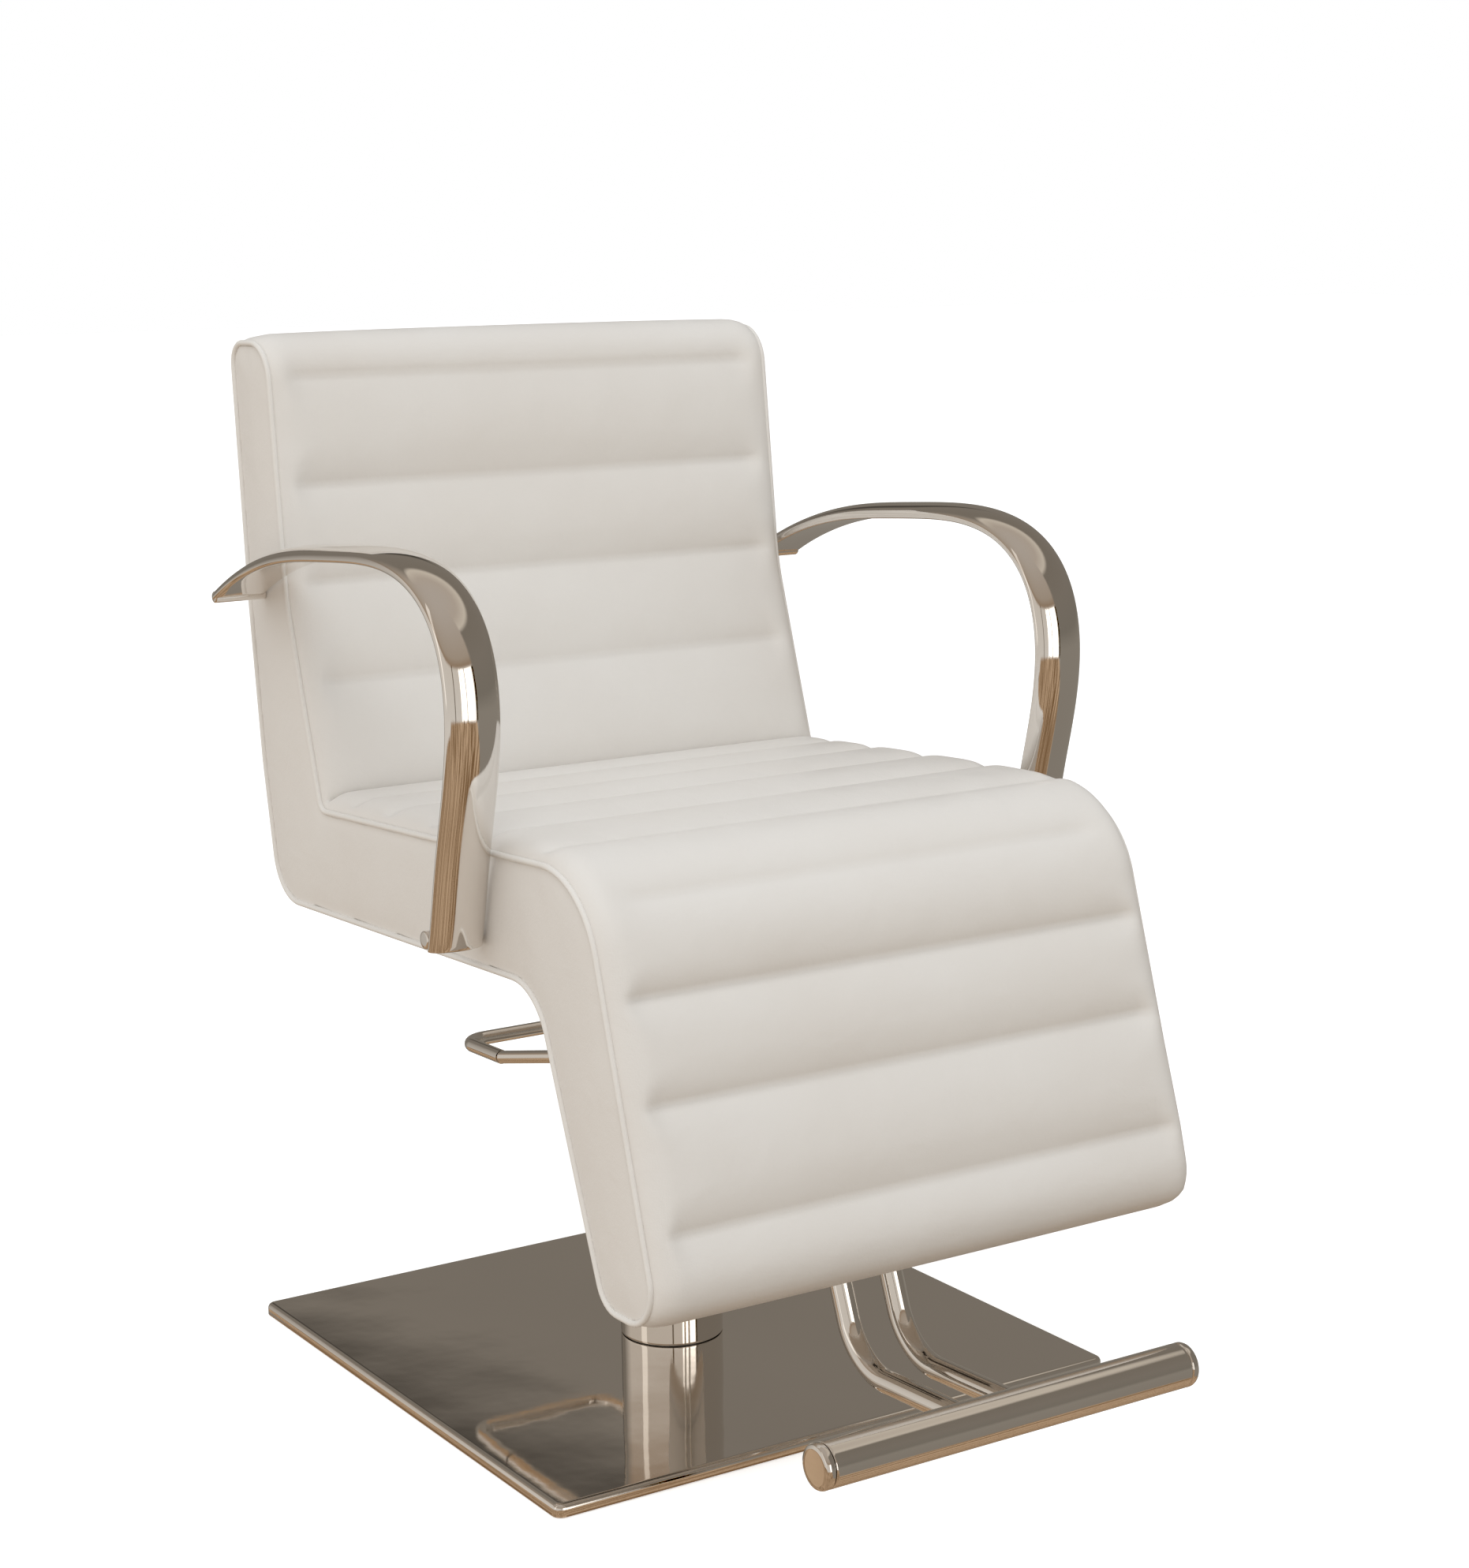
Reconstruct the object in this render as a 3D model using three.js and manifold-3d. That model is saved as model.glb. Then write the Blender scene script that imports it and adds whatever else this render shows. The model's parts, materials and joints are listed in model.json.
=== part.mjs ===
// Styling chair: an upholstered S-shaped seat with leg rest on a swivelling hydraulic column.
// Units are millimetres. The origin is on the floor under the centre of the square base plate.
// +Z is up, the sitter faces -Y, and the sitter's left hand is on the +X side.

import * as THREE from 'three';
import { mergeVertices } from 'three/addons/utils/BufferGeometryUtils.js';
import Module from 'manifold-3d';

const wasm = await Module();
wasm.setup();

// ---------------------------------------------------------------- driving dimensions

const GAP = 0.3;                 // clearance kept between two pieces that touch

const BASE_SIZE = 600;           // square base plate
const BASE_CORNER = 12;          // corner radius seen from above
const BASE_EDGE = 5.5;           // radius of the rolled edge
const BASE_BOTTOM = 0.5;
const BASE_TOP = 12.5;
const BASE_WALL = 3;             // pressed steel cover over the core
const PAD_THICKNESS = 2;         // rubber sheet under the core

const SLEEVE_RADIUS = 50;        // polished column
const SLEEVE_WALL = 4;
const SLEEVE_BOTTOM = 13.3;
const SLEEVE_TOP = 300;
const SPINDLE_RADIUS = 20;
const FLANGE_RADIUS = 44;
const FLANGE_BOLT_CIRCLE = 34;
const FLANGE_TOP = 17;
const BEARING_BOTTOM = 23.3;
const BEARING_TOP = 33;
const HUB_TOP = 100;
const CYLINDER_BOTTOM = 118;
const CYLINDER_TOP = 318;
const CYLINDER_RADIUS = 30;
const BORE_RADIUS = 22.35;
const ROD_RADIUS = 22.25;
const ROD_TOP = 434.2;

const PLATE_SIZE = 190;          // steel plate that carries the seat
const PLATE_BOTTOM = 434.6;
const PLATE_THICKNESS = 6;
const PLATE_BOLT_OFFSET = 75;

const BODY_HALF = 284;           // half width over the side panels
const PANEL_THICKNESS = 8;
const PAD_HALF = BODY_HALF - PANEL_THICKNESS - 0.4;

// Side profile as corners [y, z, rounding radius]: the sitter's side, then the rear side.
const FRONT = {
  top: [251, 978, 38], lumbar: [225, 735, 250], crease: [163, 538, 14],
  knee: [-333, 563, 86], toe: [-441, 204, 34],
};
const REAR = {
  top: [329, 977, 20], upper: [307, 720, 300], lower: [288, 570, 200],
  tail: [262, 435, 48], hock: [-254, 454, 34], heel: [-357, 203, 28],
};
const CROWN = -6;                // how far the stuffed pads stand out of the side profile
const FOAM_DEPTH = 36;           // distances below the sitter's side of the profile
const BOARD_TOP = 36.5;
const BOARD_BOTTOM = 46.5;
const RAIL_TOP = 47;
const RAIL_BOTTOM = 65;
const SHELL_DEPTH = 12;          // rear upholstery, measured from the rear side
const RAIL_OUTER = 250;
const RAIL_WIDTH = 20;

const ARM_INNER = 286.5;         // the arm band runs from here outwards
const ARM_WIDTH = 52;
const ARM_PATH = [
  [281, 734], [229, 758], [179, 775], [128, 786], [75, 793], [23, 798], [-29, 801], [-82, 800],
  [-133, 791], [-180, 768], [-207, 724], [-208, 671], [-202, 619], [-191, 568], [-177, 518], [-168, 474],
];
const BOSSES = { rear: [269, 738, 5.6], front: [-156.5, 483, 8] };   // y, z and radius

const TUBE_RADIUS = 10.5;        // twin footrest tubes
const TUBE_OFFSET = 27;
const TUBE_PATH = [[-227, 435.8, 0], [-358, 93, 60], [-514, 100, 0]];
const BAR_CENTRE = [-534, 105];
const BAR_RADIUS = 19.5;
const BAR_HALF = 186;
const CAP_WIDTH = 9;

const PEDAL_X = 30;              // middle of the pedal hub
const PEDAL_PIVOT = [70, 272];
const PEDAL_RADIUS = 6.8;
const PEDAL_PIN_RADIUS = 5;
const PEDAL_HUB_RADIUS = 13;
const PEDAL_FERRULE = [265, 234];
const PEDAL_TIP = [355, 230];
const PEDAL_ENDS = { right: [8, -40], left: [52, 128] };   // x at the hub and at the ferrule
const PLUNGER = [88, 266];       // y of the plunger and z of its top
const YOKE_BACK = 96.5;          // rear face of the yoke that holds both arms

// ---------------------------------------------------------------- materials

const finish = (color, roughness, metalness) =>
  new THREE.MeshStandardMaterial({ color, roughness, metalness });

const CHROME = finish(0xb9b0a4, 0.08, 1);
const STEEL = finish(0x8a8a88, 0.4, 1);
const PAINTED = finish(0x2b2b2d, 0.55, 0.2);
const RUBBER = finish(0x1c1c1c, 0.9, 0);
const LEATHER = finish(0xdcd8d1, 0.5, 0);
const PLY = finish(0xb48c5e, 0.75, 0);
const SEAL = finish(0x202020, 0.7, 0);

// ---------------------------------------------------------------- helpers

// A closed geometry as a solid that can be joined and cut.
function solid(geometry) {
  const bare = geometry.clone();
  for (const name of ['normal', 'uv']) bare.deleteAttribute(name);
  const merged = mergeVertices(bare, 1e-4);
  return new wasm.Manifold(new wasm.Mesh({
    numProp: 3,
    vertProperties: new Float32Array(merged.attributes.position.array),
    triVerts: new Uint32Array(merged.index.array),
  }));
}

function geometryOf(body) {
  const mesh = body.getMesh();
  const geometry = new THREE.BufferGeometry();
  geometry.setAttribute('position', new THREE.BufferAttribute(mesh.vertProperties, 3));
  geometry.setIndex(new THREE.BufferAttribute(mesh.triVerts, 1));
  geometry.computeVertexNormals();
  return geometry;
}

const cut = (body, ...tools) =>
  geometryOf(tools.reduce((rest, tool) => rest.subtract(solid(tool)), solid(body)));
const join = (body, ...others) =>
  geometryOf(others.reduce((sum, other) => sum.add(solid(other)), solid(body)));

// Upright cylinder from z0 to z1 at [x, y].
function post(radius, z0, z1, [x, y] = [0, 0], sides = 32) {
  const geometry = new THREE.CylinderGeometry(radius, radius, z1 - z0, sides);
  return geometry.rotateX(Math.PI / 2).translate(x, y, (z0 + z1) / 2);
}

// Cylinder along X from x0 to x1 at [y, z].
function bar(radius, x0, x1, [y, z], sides = 20) {
  const geometry = new THREE.CylinderGeometry(radius, radius, x1 - x0, sides);
  return geometry.rotateZ(Math.PI / 2).translate((x0 + x1) / 2, y, z);
}

// Box from its lowest to its highest corner.
function block(low, high) {
  const size = high.map((value, i) => value - low[i]);
  const middle = high.map((value, i) => (value + low[i]) / 2);
  return new THREE.BoxGeometry(...size).translate(...middle);
}

// A turned piece: [radius, z] points that go round the section.
function turned(points, sides = 32) {
  const profile = [...points, points[0]].map(([r, z]) => new THREE.Vector2(r, z));
  return new THREE.LatheGeometry(profile, sides).rotateX(Math.PI / 2);
}

const ring = (inner, outer, z0, z1) =>
  turned([[inner, z0], [outer, z0], [outer, z1], [inner, z1]]);

// Unit vector from corner a to corner b.
function heading(a, b) {
  const length = Math.hypot(b[0] - a[0], b[1] - a[1]);
  return [(b[0] - a[0]) / length, (b[1] - a[1]) / length];
}

// A path through corners [u, v, radius], with its inner corners rounded by arcs.
function rounded(corners, closed = false) {
  const points = [];
  const count = corners.length;
  corners.forEach((corner, i) => {
    const isEnd = !closed && (i === 0 || i === count - 1);
    const [u, v, radius = 0] = corner;
    if (isEnd || radius === 0) {
      points.push(new THREE.Vector2(u, v));
      return;
    }
    const a = heading(corners[(i + count - 1) % count], corner);
    const b = heading(corner, corners[(i + 1) % count]);
    const turn = Math.atan2(a[0] * b[1] - a[1] * b[0], a[0] * b[0] + a[1] * b[1]);
    const reach = radius * Math.tan(Math.abs(turn) / 2);
    const side = Math.sign(turn);
    const centre = [
      u - a[0] * reach - a[1] * radius * side, v - a[1] * reach + a[0] * radius * side,
    ];
    const start = Math.atan2(v - a[1] * reach - centre[1], u - a[0] * reach - centre[0]);
    const steps = Math.max(2, Math.ceil(Math.abs(turn) / (Math.PI / 14)));
    for (let k = 0; k <= steps; k += 1) {
      const angle = start + turn * k / steps;
      points.push(new THREE.Vector2(
        centre[0] + radius * Math.cos(angle), centre[1] + radius * Math.sin(angle),
      ));
    }
  });
  return points;
}

// The corners moved sideways by a distance, to the left of the way they run.
function shifted(corners, distance) {
  return corners.map((corner, i) => {
    const a = i > 0 ? heading(corners[i - 1], corner) : heading(corner, corners[1]);
    const b = i < corners.length - 1 ? heading(corner, corners[i + 1]) : a;
    const turn = Math.atan2(a[0] * b[1] - a[1] * b[0], a[0] * b[0] + a[1] * b[1]);
    const slant = Math.tan(turn / 2) * distance;
    const radius = corner[2] ? Math.max(3, corner[2] - Math.sign(turn) * distance) : 0;
    return [
      corner[0] - a[1] * distance - a[0] * slant,
      corner[1] + a[0] * distance - a[1] * slant,
      radius,
    ];
  });
}

// Outline in the YZ plane, extruded along X from x0 to x1.
function slab(outline, x0, x1) {
  const geometry = new THREE.ExtrudeGeometry(new THREE.Shape(outline), {
    depth: x1 - x0, bevelEnabled: false, steps: 1,
  });
  const toYZ = new THREE.Matrix4().makeBasis(
    new THREE.Vector3(0, 1, 0), new THREE.Vector3(0, 0, 1), new THREE.Vector3(1, 0, 0),
  );
  return geometry.applyMatrix4(toYZ).translate(x0, 0, 0);
}

// A layer that follows a path of corners, between two distances to its left.
function layer(corners, near, far, half) {
  const outline = [
    ...rounded(shifted(corners, near)), ...rounded(shifted(corners, far)).reverse(),
  ];
  return slab(outline, -half, half);
}

// A section swept along points in space.
function swept(section, points, steps) {
  return new THREE.ExtrudeGeometry(new THREE.Shape(section), {
    steps, bevelEnabled: false, extrudePath: new THREE.CatmullRomCurve3(points),
  });
}

// A polyline of 3-D points as one path, so that a sweep keeps its straight stretches.
function railed(points) {
  const path = new THREE.CurvePath();
  for (let i = 1; i < points.length; i += 1) {
    path.add(new THREE.LineCurve3(points[i - 1], points[i]));
  }
  return path;
}

function circle(radius, sides) {
  return Array.from({ length: sides }, (_, i) => {
    const angle = 2 * Math.PI * i / sides;
    return new THREE.Vector2(radius * Math.cos(angle), radius * Math.sin(angle));
  });
}

// A round tube along a 3-D polyline, with one ring at each of its points, square to the run there.
function pipe(radius, points, sides = 12) {
  const rings = points.length - 1;
  const path = railed(points);
  path.getPointAt = (t) => points[Math.round(t * rings)].clone();
  path.getTangentAt = (t) => {
    const i = Math.round(t * rings);
    const before = points[Math.max(0, i - 1)];
    const after = points[Math.min(rings, i + 1)];
    return after.clone().sub(before).normalize();
  };
  path.getSpacedPoints = () => points.map((point) => point.clone());
  return new THREE.ExtrudeGeometry(new THREE.Shape(circle(radius, sides)), {
    steps: rings, bevelEnabled: false, extrudePath: path,
  });
}

const inSpace = (outline, x) => outline.map(({ x: y, y: z }) => new THREE.Vector3(x, y, z));

// ---------------------------------------------------------------- base

function squareOutline(size, radius) {
  const half = size / 2;
  return rounded([
    [-half, -half, radius], [half, -half, radius], [half, half, radius], [-half, half, radius],
  ], true);
}

function sheetSquare(size, radius, z0, z1) {
  const shape = new THREE.Shape(squareOutline(size, radius));
  return new THREE.ExtrudeGeometry(shape, { depth: z1 - z0, bevelEnabled: false })
    .translate(0, 0, z0);
}

const boltCircle = (i) => {
  const angle = Math.PI / 4 + i * Math.PI / 2;
  return [FLANGE_BOLT_CIRCLE * Math.cos(angle), FLANGE_BOLT_CIRCLE * Math.sin(angle)];
};
const FOUR = [0, 1, 2, 3];
const CORE_TOP = BASE_TOP - BASE_WALL - GAP;

const floorPad = () => sheetSquare(BASE_SIZE - 24, 8, 0, PAD_THICKNESS);

function baseCore() {
  const holes = FOUR.map((i) => post(4.4, 0, 20, boltCircle(i), 16));
  return cut(sheetSquare(BASE_SIZE - 22, 8, PAD_THICKNESS + GAP, CORE_TOP), ...holes);
}

// The polished cover: a plate with a rolled edge, hollow below, open round the flange.
function baseCover() {
  const shape = new THREE.Shape(squareOutline(BASE_SIZE - 2 * BASE_EDGE, BASE_CORNER - BASE_EDGE));
  const body = new THREE.ExtrudeGeometry(shape, {
    depth: BASE_TOP - BASE_BOTTOM - 2 * BASE_EDGE,
    bevelEnabled: true, bevelThickness: BASE_EDGE, bevelSize: BASE_EDGE, bevelSegments: 4,
  }).translate(0, 0, BASE_BOTTOM + BASE_EDGE);
  const pocket = sheetSquare(BASE_SIZE - 20, 9, -5, BASE_TOP - BASE_WALL);
  return cut(body, pocket, post(FLANGE_RADIUS + 1.5, -5, 30));
}

function spindle() {
  const body = turned([
    [0, CORE_TOP + GAP], [FLANGE_RADIUS, CORE_TOP + GAP], [FLANGE_RADIUS, FLANGE_TOP],
    [26, FLANGE_TOP], [26, BEARING_BOTTOM - GAP], [SPINDLE_RADIUS, BEARING_BOTTOM - GAP],
    [SPINDLE_RADIUS, HUB_TOP], [9.7, HUB_TOP], [9.7, HUB_TOP + 14], [0, HUB_TOP + 14],
  ]);
  return cut(body, ...FOUR.map((i) => post(4.4, 0, 30, boltCircle(i), 16)));
}

function flangeBolt(i) {
  const at = boltCircle(i);
  const head = post(6.2, FLANGE_TOP + GAP, FLANGE_TOP + 5.3, at, 6);
  return join(head, post(4, PAD_THICKNESS + 1, FLANGE_TOP + 2, at, 16));
}

const thrustBearing = () => ring(SPINDLE_RADIUS + 0.4, 42, BEARING_BOTTOM, BEARING_TOP);
const spindleNut = () => cut(post(16, HUB_TOP + GAP, HUB_TOP + 11, [0, 0], 6), post(10, 90, 130));

// ---------------------------------------------------------------- pump and column

const columnSleeve = () =>
  ring(SLEEVE_RADIUS - SLEEVE_WALL, SLEEVE_RADIUS, SLEEVE_BOTTOM, SLEEVE_TOP);

const swivelHub = () => ring(SPINDLE_RADIUS + 0.6, SLEEVE_RADIUS - SLEEVE_WALL - 0.4,
  BEARING_TOP + 0.4, HUB_TOP - GAP);

function pumpCylinder() {
  const foot = SLEEVE_RADIUS - SLEEVE_WALL - 0.4;
  return turned([
    [0, CYLINDER_BOTTOM], [foot, CYLINDER_BOTTOM], [foot, CYLINDER_BOTTOM + 8],
    [CYLINDER_RADIUS, CYLINDER_BOTTOM + 8], [CYLINDER_RADIUS, CYLINDER_TOP],
    [BORE_RADIUS, CYLINDER_TOP], [BORE_RADIUS, CYLINDER_BOTTOM + 7], [0, CYLINDER_BOTTOM + 7],
  ]);
}

const pumpHead = () => ring(CYLINDER_RADIUS + 0.4, SLEEVE_RADIUS, SLEEVE_TOP + GAP, SLEEVE_TOP + 12);
const wiperSeal = () => ring(BORE_RADIUS, CYLINDER_RADIUS - 0.5, CYLINDER_TOP + GAP, CYLINDER_TOP + 5);

// Welded lug behind the column: a block that guides the plunger, and two ears for the pin.
function pedalBracket() {
  const [y, z] = PEDAL_PIVOT;
  const guide = block([PEDAL_X - 27, 20, 215], [PEDAL_X + 27, 100, 238]);
  const ears = [-27, 19].map((x) => block([PEDAL_X + x, 30, 230], [PEDAL_X + x + 8, y + 9, z + 10]));
  return cut(join(guide, ...ears),
    post(SLEEVE_RADIUS + GAP, 180, 310, [0, 0], 48),
    post(5.3, 200, 250, [PEDAL_X, PLUNGER[0]], 24),
    bar(PEDAL_PIN_RADIUS + 0.1, PEDAL_X - 60, PEDAL_X + 60, PEDAL_PIVOT));
}

const pedalPin = () => bar(PEDAL_PIN_RADIUS, PEDAL_X - 30, PEDAL_X + 30, PEDAL_PIVOT);

// Coil round the plunger, between the bracket and the plunger's collar.
function returnSpring() {
  const turns = 4;
  const low = 238 + 1.5;
  const high = PLUNGER[1] - 8.5;
  const steps = turns * 14;
  const points = Array.from({ length: steps + 1 }, (_, i) => {
    const angle = 2 * Math.PI * turns * i / steps;
    return new THREE.Vector3(
      PEDAL_X + 7 * Math.cos(angle), PLUNGER[0] + 7 * Math.sin(angle),
      low + (high - low) * i / steps,
    );
  });
  return swept(circle(0.9, 6), points, steps);
}

const pumpPlunger = () => join(
  post(5, 205, PLUNGER[1] - 0.5, [PEDAL_X, PLUNGER[0]], 24),
  post(8, PLUNGER[1] - 7, PLUNGER[1] - 4, [PEDAL_X, PLUNGER[0]], 24),
);

// ---------------------------------------------------------------- pedal

function pedalHub() {
  const nose = [PLUNGER[0], PEDAL_PIVOT[1]];
  const barrel = bar(PEDAL_HUB_RADIUS, PEDAL_X - 18, PEDAL_X + 18, PEDAL_PIVOT, 32);
  const finger = bar(6, PEDAL_X - 6, PEDAL_X + 6, nose);
  return cut(join(barrel, finger, ...yokeHalf(-1), ...yokeHalf(1)),
    bar(PEDAL_PIN_RADIUS + 0.5, PEDAL_X - 60, PEDAL_X + 60, PEDAL_PIVOT, 24));
}

// One side of the loop, from the hub to the ferrule.
function pedalArm(side) {
  const [near, far] = PEDAL_ENDS[side];
  const [y, z] = PEDAL_PIVOT;
  const start = YOKE_BACK + 3;
  const share = (start - y) / (PEDAL_FERRULE[0] - y);
  const points = [
    new THREE.Vector3(near + (far - near) * share, start, z - (z - PEDAL_FERRULE[1]) * share),
    new THREE.Vector3(far, PEDAL_FERRULE[0] - 3.4, PEDAL_FERRULE[1]),
  ];
  return pipe(PEDAL_RADIUS, points, 16);
}

// The yoke on one side of the hub: a cheek that reaches back, and the wing that an arm meets.
function yokeHalf(side) {
  const [y, z] = PEDAL_PIVOT;
  const across = (inner, outer) => [inner, outer].map((x) => PEDAL_X + side * x).sort((a, b) => a - b);
  const [cheek0, cheek1] = across(12, 18);
  const [wing0, wing1] = across(12, 40);
  return [
    block([cheek0, y, z - 6], [cheek1, YOKE_BACK, z + 6]),
    block([wing0, YOKE_BACK - 6.5, z - 12], [wing1, YOKE_BACK, z + 4]),
  ];
}

// The round-cornered grip end of the loop, from one ferrule to the other.
function pedalLoop() {
  const [y, z] = PEDAL_TIP;
  const right = PEDAL_ENDS.right[1];
  const left = PEDAL_ENDS.left[1];
  const flat = rounded([
    [right, PEDAL_FERRULE[0], 0], [right + 2, y, 26], [left - 2, y, 26], [left, PEDAL_FERRULE[0], 0],
  ]);
  const span = y - PEDAL_FERRULE[0];
  const points = flat.map(({ x, y: at }) => new THREE.Vector3(
    x, at, PEDAL_FERRULE[1] + (z - PEDAL_FERRULE[1]) * (at - PEDAL_FERRULE[0]) / span));
  return pipe(PEDAL_RADIUS + 0.6, points, 16);
}

// ---------------------------------------------------------------- seat carrier

const pistonRod = () => post(ROD_RADIUS, CYLINDER_BOTTOM + 8, ROD_TOP);

const plateCorner = (i) => [
  PLATE_BOLT_OFFSET * (i % 2 ? 1 : -1), PLATE_BOLT_OFFSET * (i < 2 ? 1 : -1),
];
const plateHoles = (radius) => FOUR.map((i) => post(radius, 400, 520, plateCorner(i), 16));

function mountingPlate() {
  const half = PLATE_SIZE / 2;
  const top = PLATE_BOTTOM + PLATE_THICKNESS;
  const plate = block([-half, -half, PLATE_BOTTOM], [half, half, top]);
  const socket = post(CYLINDER_RADIUS, 404, PLATE_BOTTOM + 1);
  return cut(join(plate, socket), post(ROD_RADIUS + GAP, 390, ROD_TOP + 0.2), ...plateHoles(4.4));
}

function plateBolt(i) {
  const at = plateCorner(i);
  const head = post(7, PLATE_BOTTOM - 5.3, PLATE_BOTTOM - GAP, at, 6);
  return join(head, post(4, PLATE_BOTTOM - 3, 493, at, 16));
}

const crossPlate = () => cut(
  block([-(RAIL_OUTER - RAIL_WIDTH - GAP), -110, 484], [RAIL_OUTER - RAIL_WIDTH - GAP, 110, 492]),
  ...plateHoles(4.4),
);

// ---------------------------------------------------------------- upholstered body

const onLine = (a, b, share) => [a[0] + (b[0] - a[0]) * share, a[1] + (b[1] - a[1]) * share, 0];

// Stretches of the sitter's side that each pad and board follows.
const BACK_RUN = [[249, 961, 0], FRONT.lumbar, onLine(FRONT.crease, FRONT.lumbar, 0.11)];
const SEAT_RUN = [onLine(FRONT.crease, FRONT.knee, 0.03), onLine(FRONT.crease, FRONT.knee, 0.815)];
const LEG_RUN = [onLine(FRONT.crease, FRONT.knee, 0.825), FRONT.knee, [-436.5, 219, 0]];
const LEG_STRAIGHT = [onLine(FRONT.knee, FRONT.toe, 0.25), onLine(FRONT.knee, FRONT.toe, 0.93)];
const WHOLE_RUN = [
  [248, 950, 0], FRONT.lumbar, FRONT.crease, FRONT.knee, onLine(FRONT.knee, FRONT.toe, 0.93),
];

// Stretches of the rear side.
const REAR_BACK = [[327.5, 959, 0], REAR.upper, REAR.lower, onLine(REAR.lower, REAR.tail, 0.5)];
const REAR_SEAT = [onLine(REAR.lower, REAR.tail, 0.51), REAR.tail, REAR.hock,
  onLine(REAR.hock, REAR.heel, 0.14)];
const REAR_LEG = [onLine(REAR.hock, REAR.heel, 0.145), onLine(REAR.hock, REAR.heel, 0.94)];

const pad = (run) => layer(run, CROWN, FOAM_DEPTH, PAD_HALF);
const board = (run) => layer(run, BOARD_TOP, BOARD_BOTTOM, PAD_HALF - 10);
const shell = (run) => layer(run, 0, -SHELL_DEPTH, PAD_HALF);
const seatShell = () => cut(shell(REAR_SEAT), ...plateHoles(5));

const headRoll = () => slab(rounded(
  [[251, 962, 0], [328, 962, 0], [327, 986, 14], [254, 986, 16]], true), -PAD_HALF, PAD_HALF);
const toeRoll = () => slab(rounded(
  [[-440, 198, 9], [-360, 198, 6], [-362, 207, 0], [-402, 207, 0], [-439.5, 218.4, 0]], true), -PAD_HALF, PAD_HALF);

// One S-shaped steel rail; side is -1 on the sitter's right, +1 on the left.
function frameRail(side) {
  const outline = [
    ...rounded(shifted(WHOLE_RUN, RAIL_TOP)), ...rounded(shifted(WHOLE_RUN, RAIL_BOTTOM)).reverse(),
  ];
  const x0 = side < 0 ? -RAIL_OUTER : RAIL_OUTER - RAIL_WIDTH;
  return slab(outline, x0, x0 + RAIL_WIDTH);
}

function sidePanel(side) {
  const corners = [
    FRONT.top, FRONT.lumbar, FRONT.crease, FRONT.knee, FRONT.toe,
    REAR.heel, REAR.hock, REAR.tail, REAR.lower, REAR.upper, REAR.top,
  ];
  const x0 = side < 0 ? -BODY_HALF : BODY_HALF - PANEL_THICKNESS;
  return slab(rounded(corners, true), x0, x0 + PANEL_THICKNESS);
}

// ---------------------------------------------------------------- arms

// Section of the arm band: thin round edges, flat inside, crowned outside.
function armSection() {
  const half = ARM_WIDTH / 2;
  const across = [[half - 2.5, 5], [half - 0.2, 3], [half - 0.6, 0], [half - 5, -5], [13, -8.6], [5, -10.2]];
  return [...across, ...across.map(([u, v]) => [-u, v]).reverse()]
    .map(([u, v]) => new THREE.Vector2(u, v));
}

function arm(side) {
  const x = side * (ARM_INNER + ARM_WIDTH / 2);
  const band = swept(armSection(), ARM_PATH.map(([y, z]) => new THREE.Vector3(x, y, z)), 48);
  return cut(band, ...Object.keys(BOSSES).map((end) => armBoss(side, end, GAP / 3)));
}

// Round boss, from the side panel to the outer edge of an arm's end.
function armBoss(side, end, clearance = 0) {
  const [y, z, radius] = BOSSES[end];
  const reach = [BODY_HALF + GAP, ARM_INNER + ARM_WIDTH - 1].map((x) => side * x).sort((a, b) => a - b);
  return bar(radius + clearance, reach[0] - clearance, reach[1] + clearance, [y, z], 24);
}

// ---------------------------------------------------------------- footrest

const footrestBracket = () => block([-60, -240, 440], [60, -150, 447.5]);

const footrestTube = (side) =>
  pipe(TUBE_RADIUS, inSpace(rounded(TUBE_PATH), side * TUBE_OFFSET), 16);

const footrestBar = () => bar(BAR_RADIUS, -BAR_HALF, BAR_HALF, BAR_CENTRE, 28);

function barCap(side) {
  const inner = BAR_HALF + GAP;
  const outer = BAR_HALF + CAP_WIDTH;
  const disc = turned([
    [0, inner], [BAR_RADIUS, inner], [BAR_RADIUS, outer - 3], [BAR_RADIUS - 3, outer], [0, outer],
  ], 28);
  return disc.rotateY(side * Math.PI / 2).translate(0, ...BAR_CENTRE);
}

// ---------------------------------------------------------------- assembly

const group = new THREE.Group();

function add(name, geometry, material) {
  const mesh = new THREE.Mesh(geometry, material);
  mesh.name = name;
  group.add(mesh);
}

add('floor_pad', floorPad(), RUBBER);
add('base_core', baseCore(), PAINTED);
add('base_cover', baseCover(), CHROME);
add('spindle', spindle(), STEEL);
FOUR.forEach((i) => add(`flange_bolt_${i + 1}`, flangeBolt(i), STEEL));
add('thrust_bearing', thrustBearing(), STEEL);
add('spindle_nut', spindleNut(), STEEL);

add('column_sleeve', columnSleeve(), CHROME);
add('swivel_hub', swivelHub(), STEEL);
add('pump_cylinder', pumpCylinder(), STEEL);
add('pump_head', pumpHead(), CHROME);
add('wiper_seal', wiperSeal(), SEAL);
add('pedal_bracket', pedalBracket(), PAINTED);
add('pedal_pin', pedalPin(), STEEL);
add('return_spring', returnSpring(), STEEL);
add('pump_plunger', pumpPlunger(), STEEL);

add('pedal_hub', pedalHub(), STEEL);
add('pedal_arm_right', pedalArm('right'), CHROME);
add('pedal_arm_left', pedalArm('left'), CHROME);
add('pedal_loop', pedalLoop(), CHROME);

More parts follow.
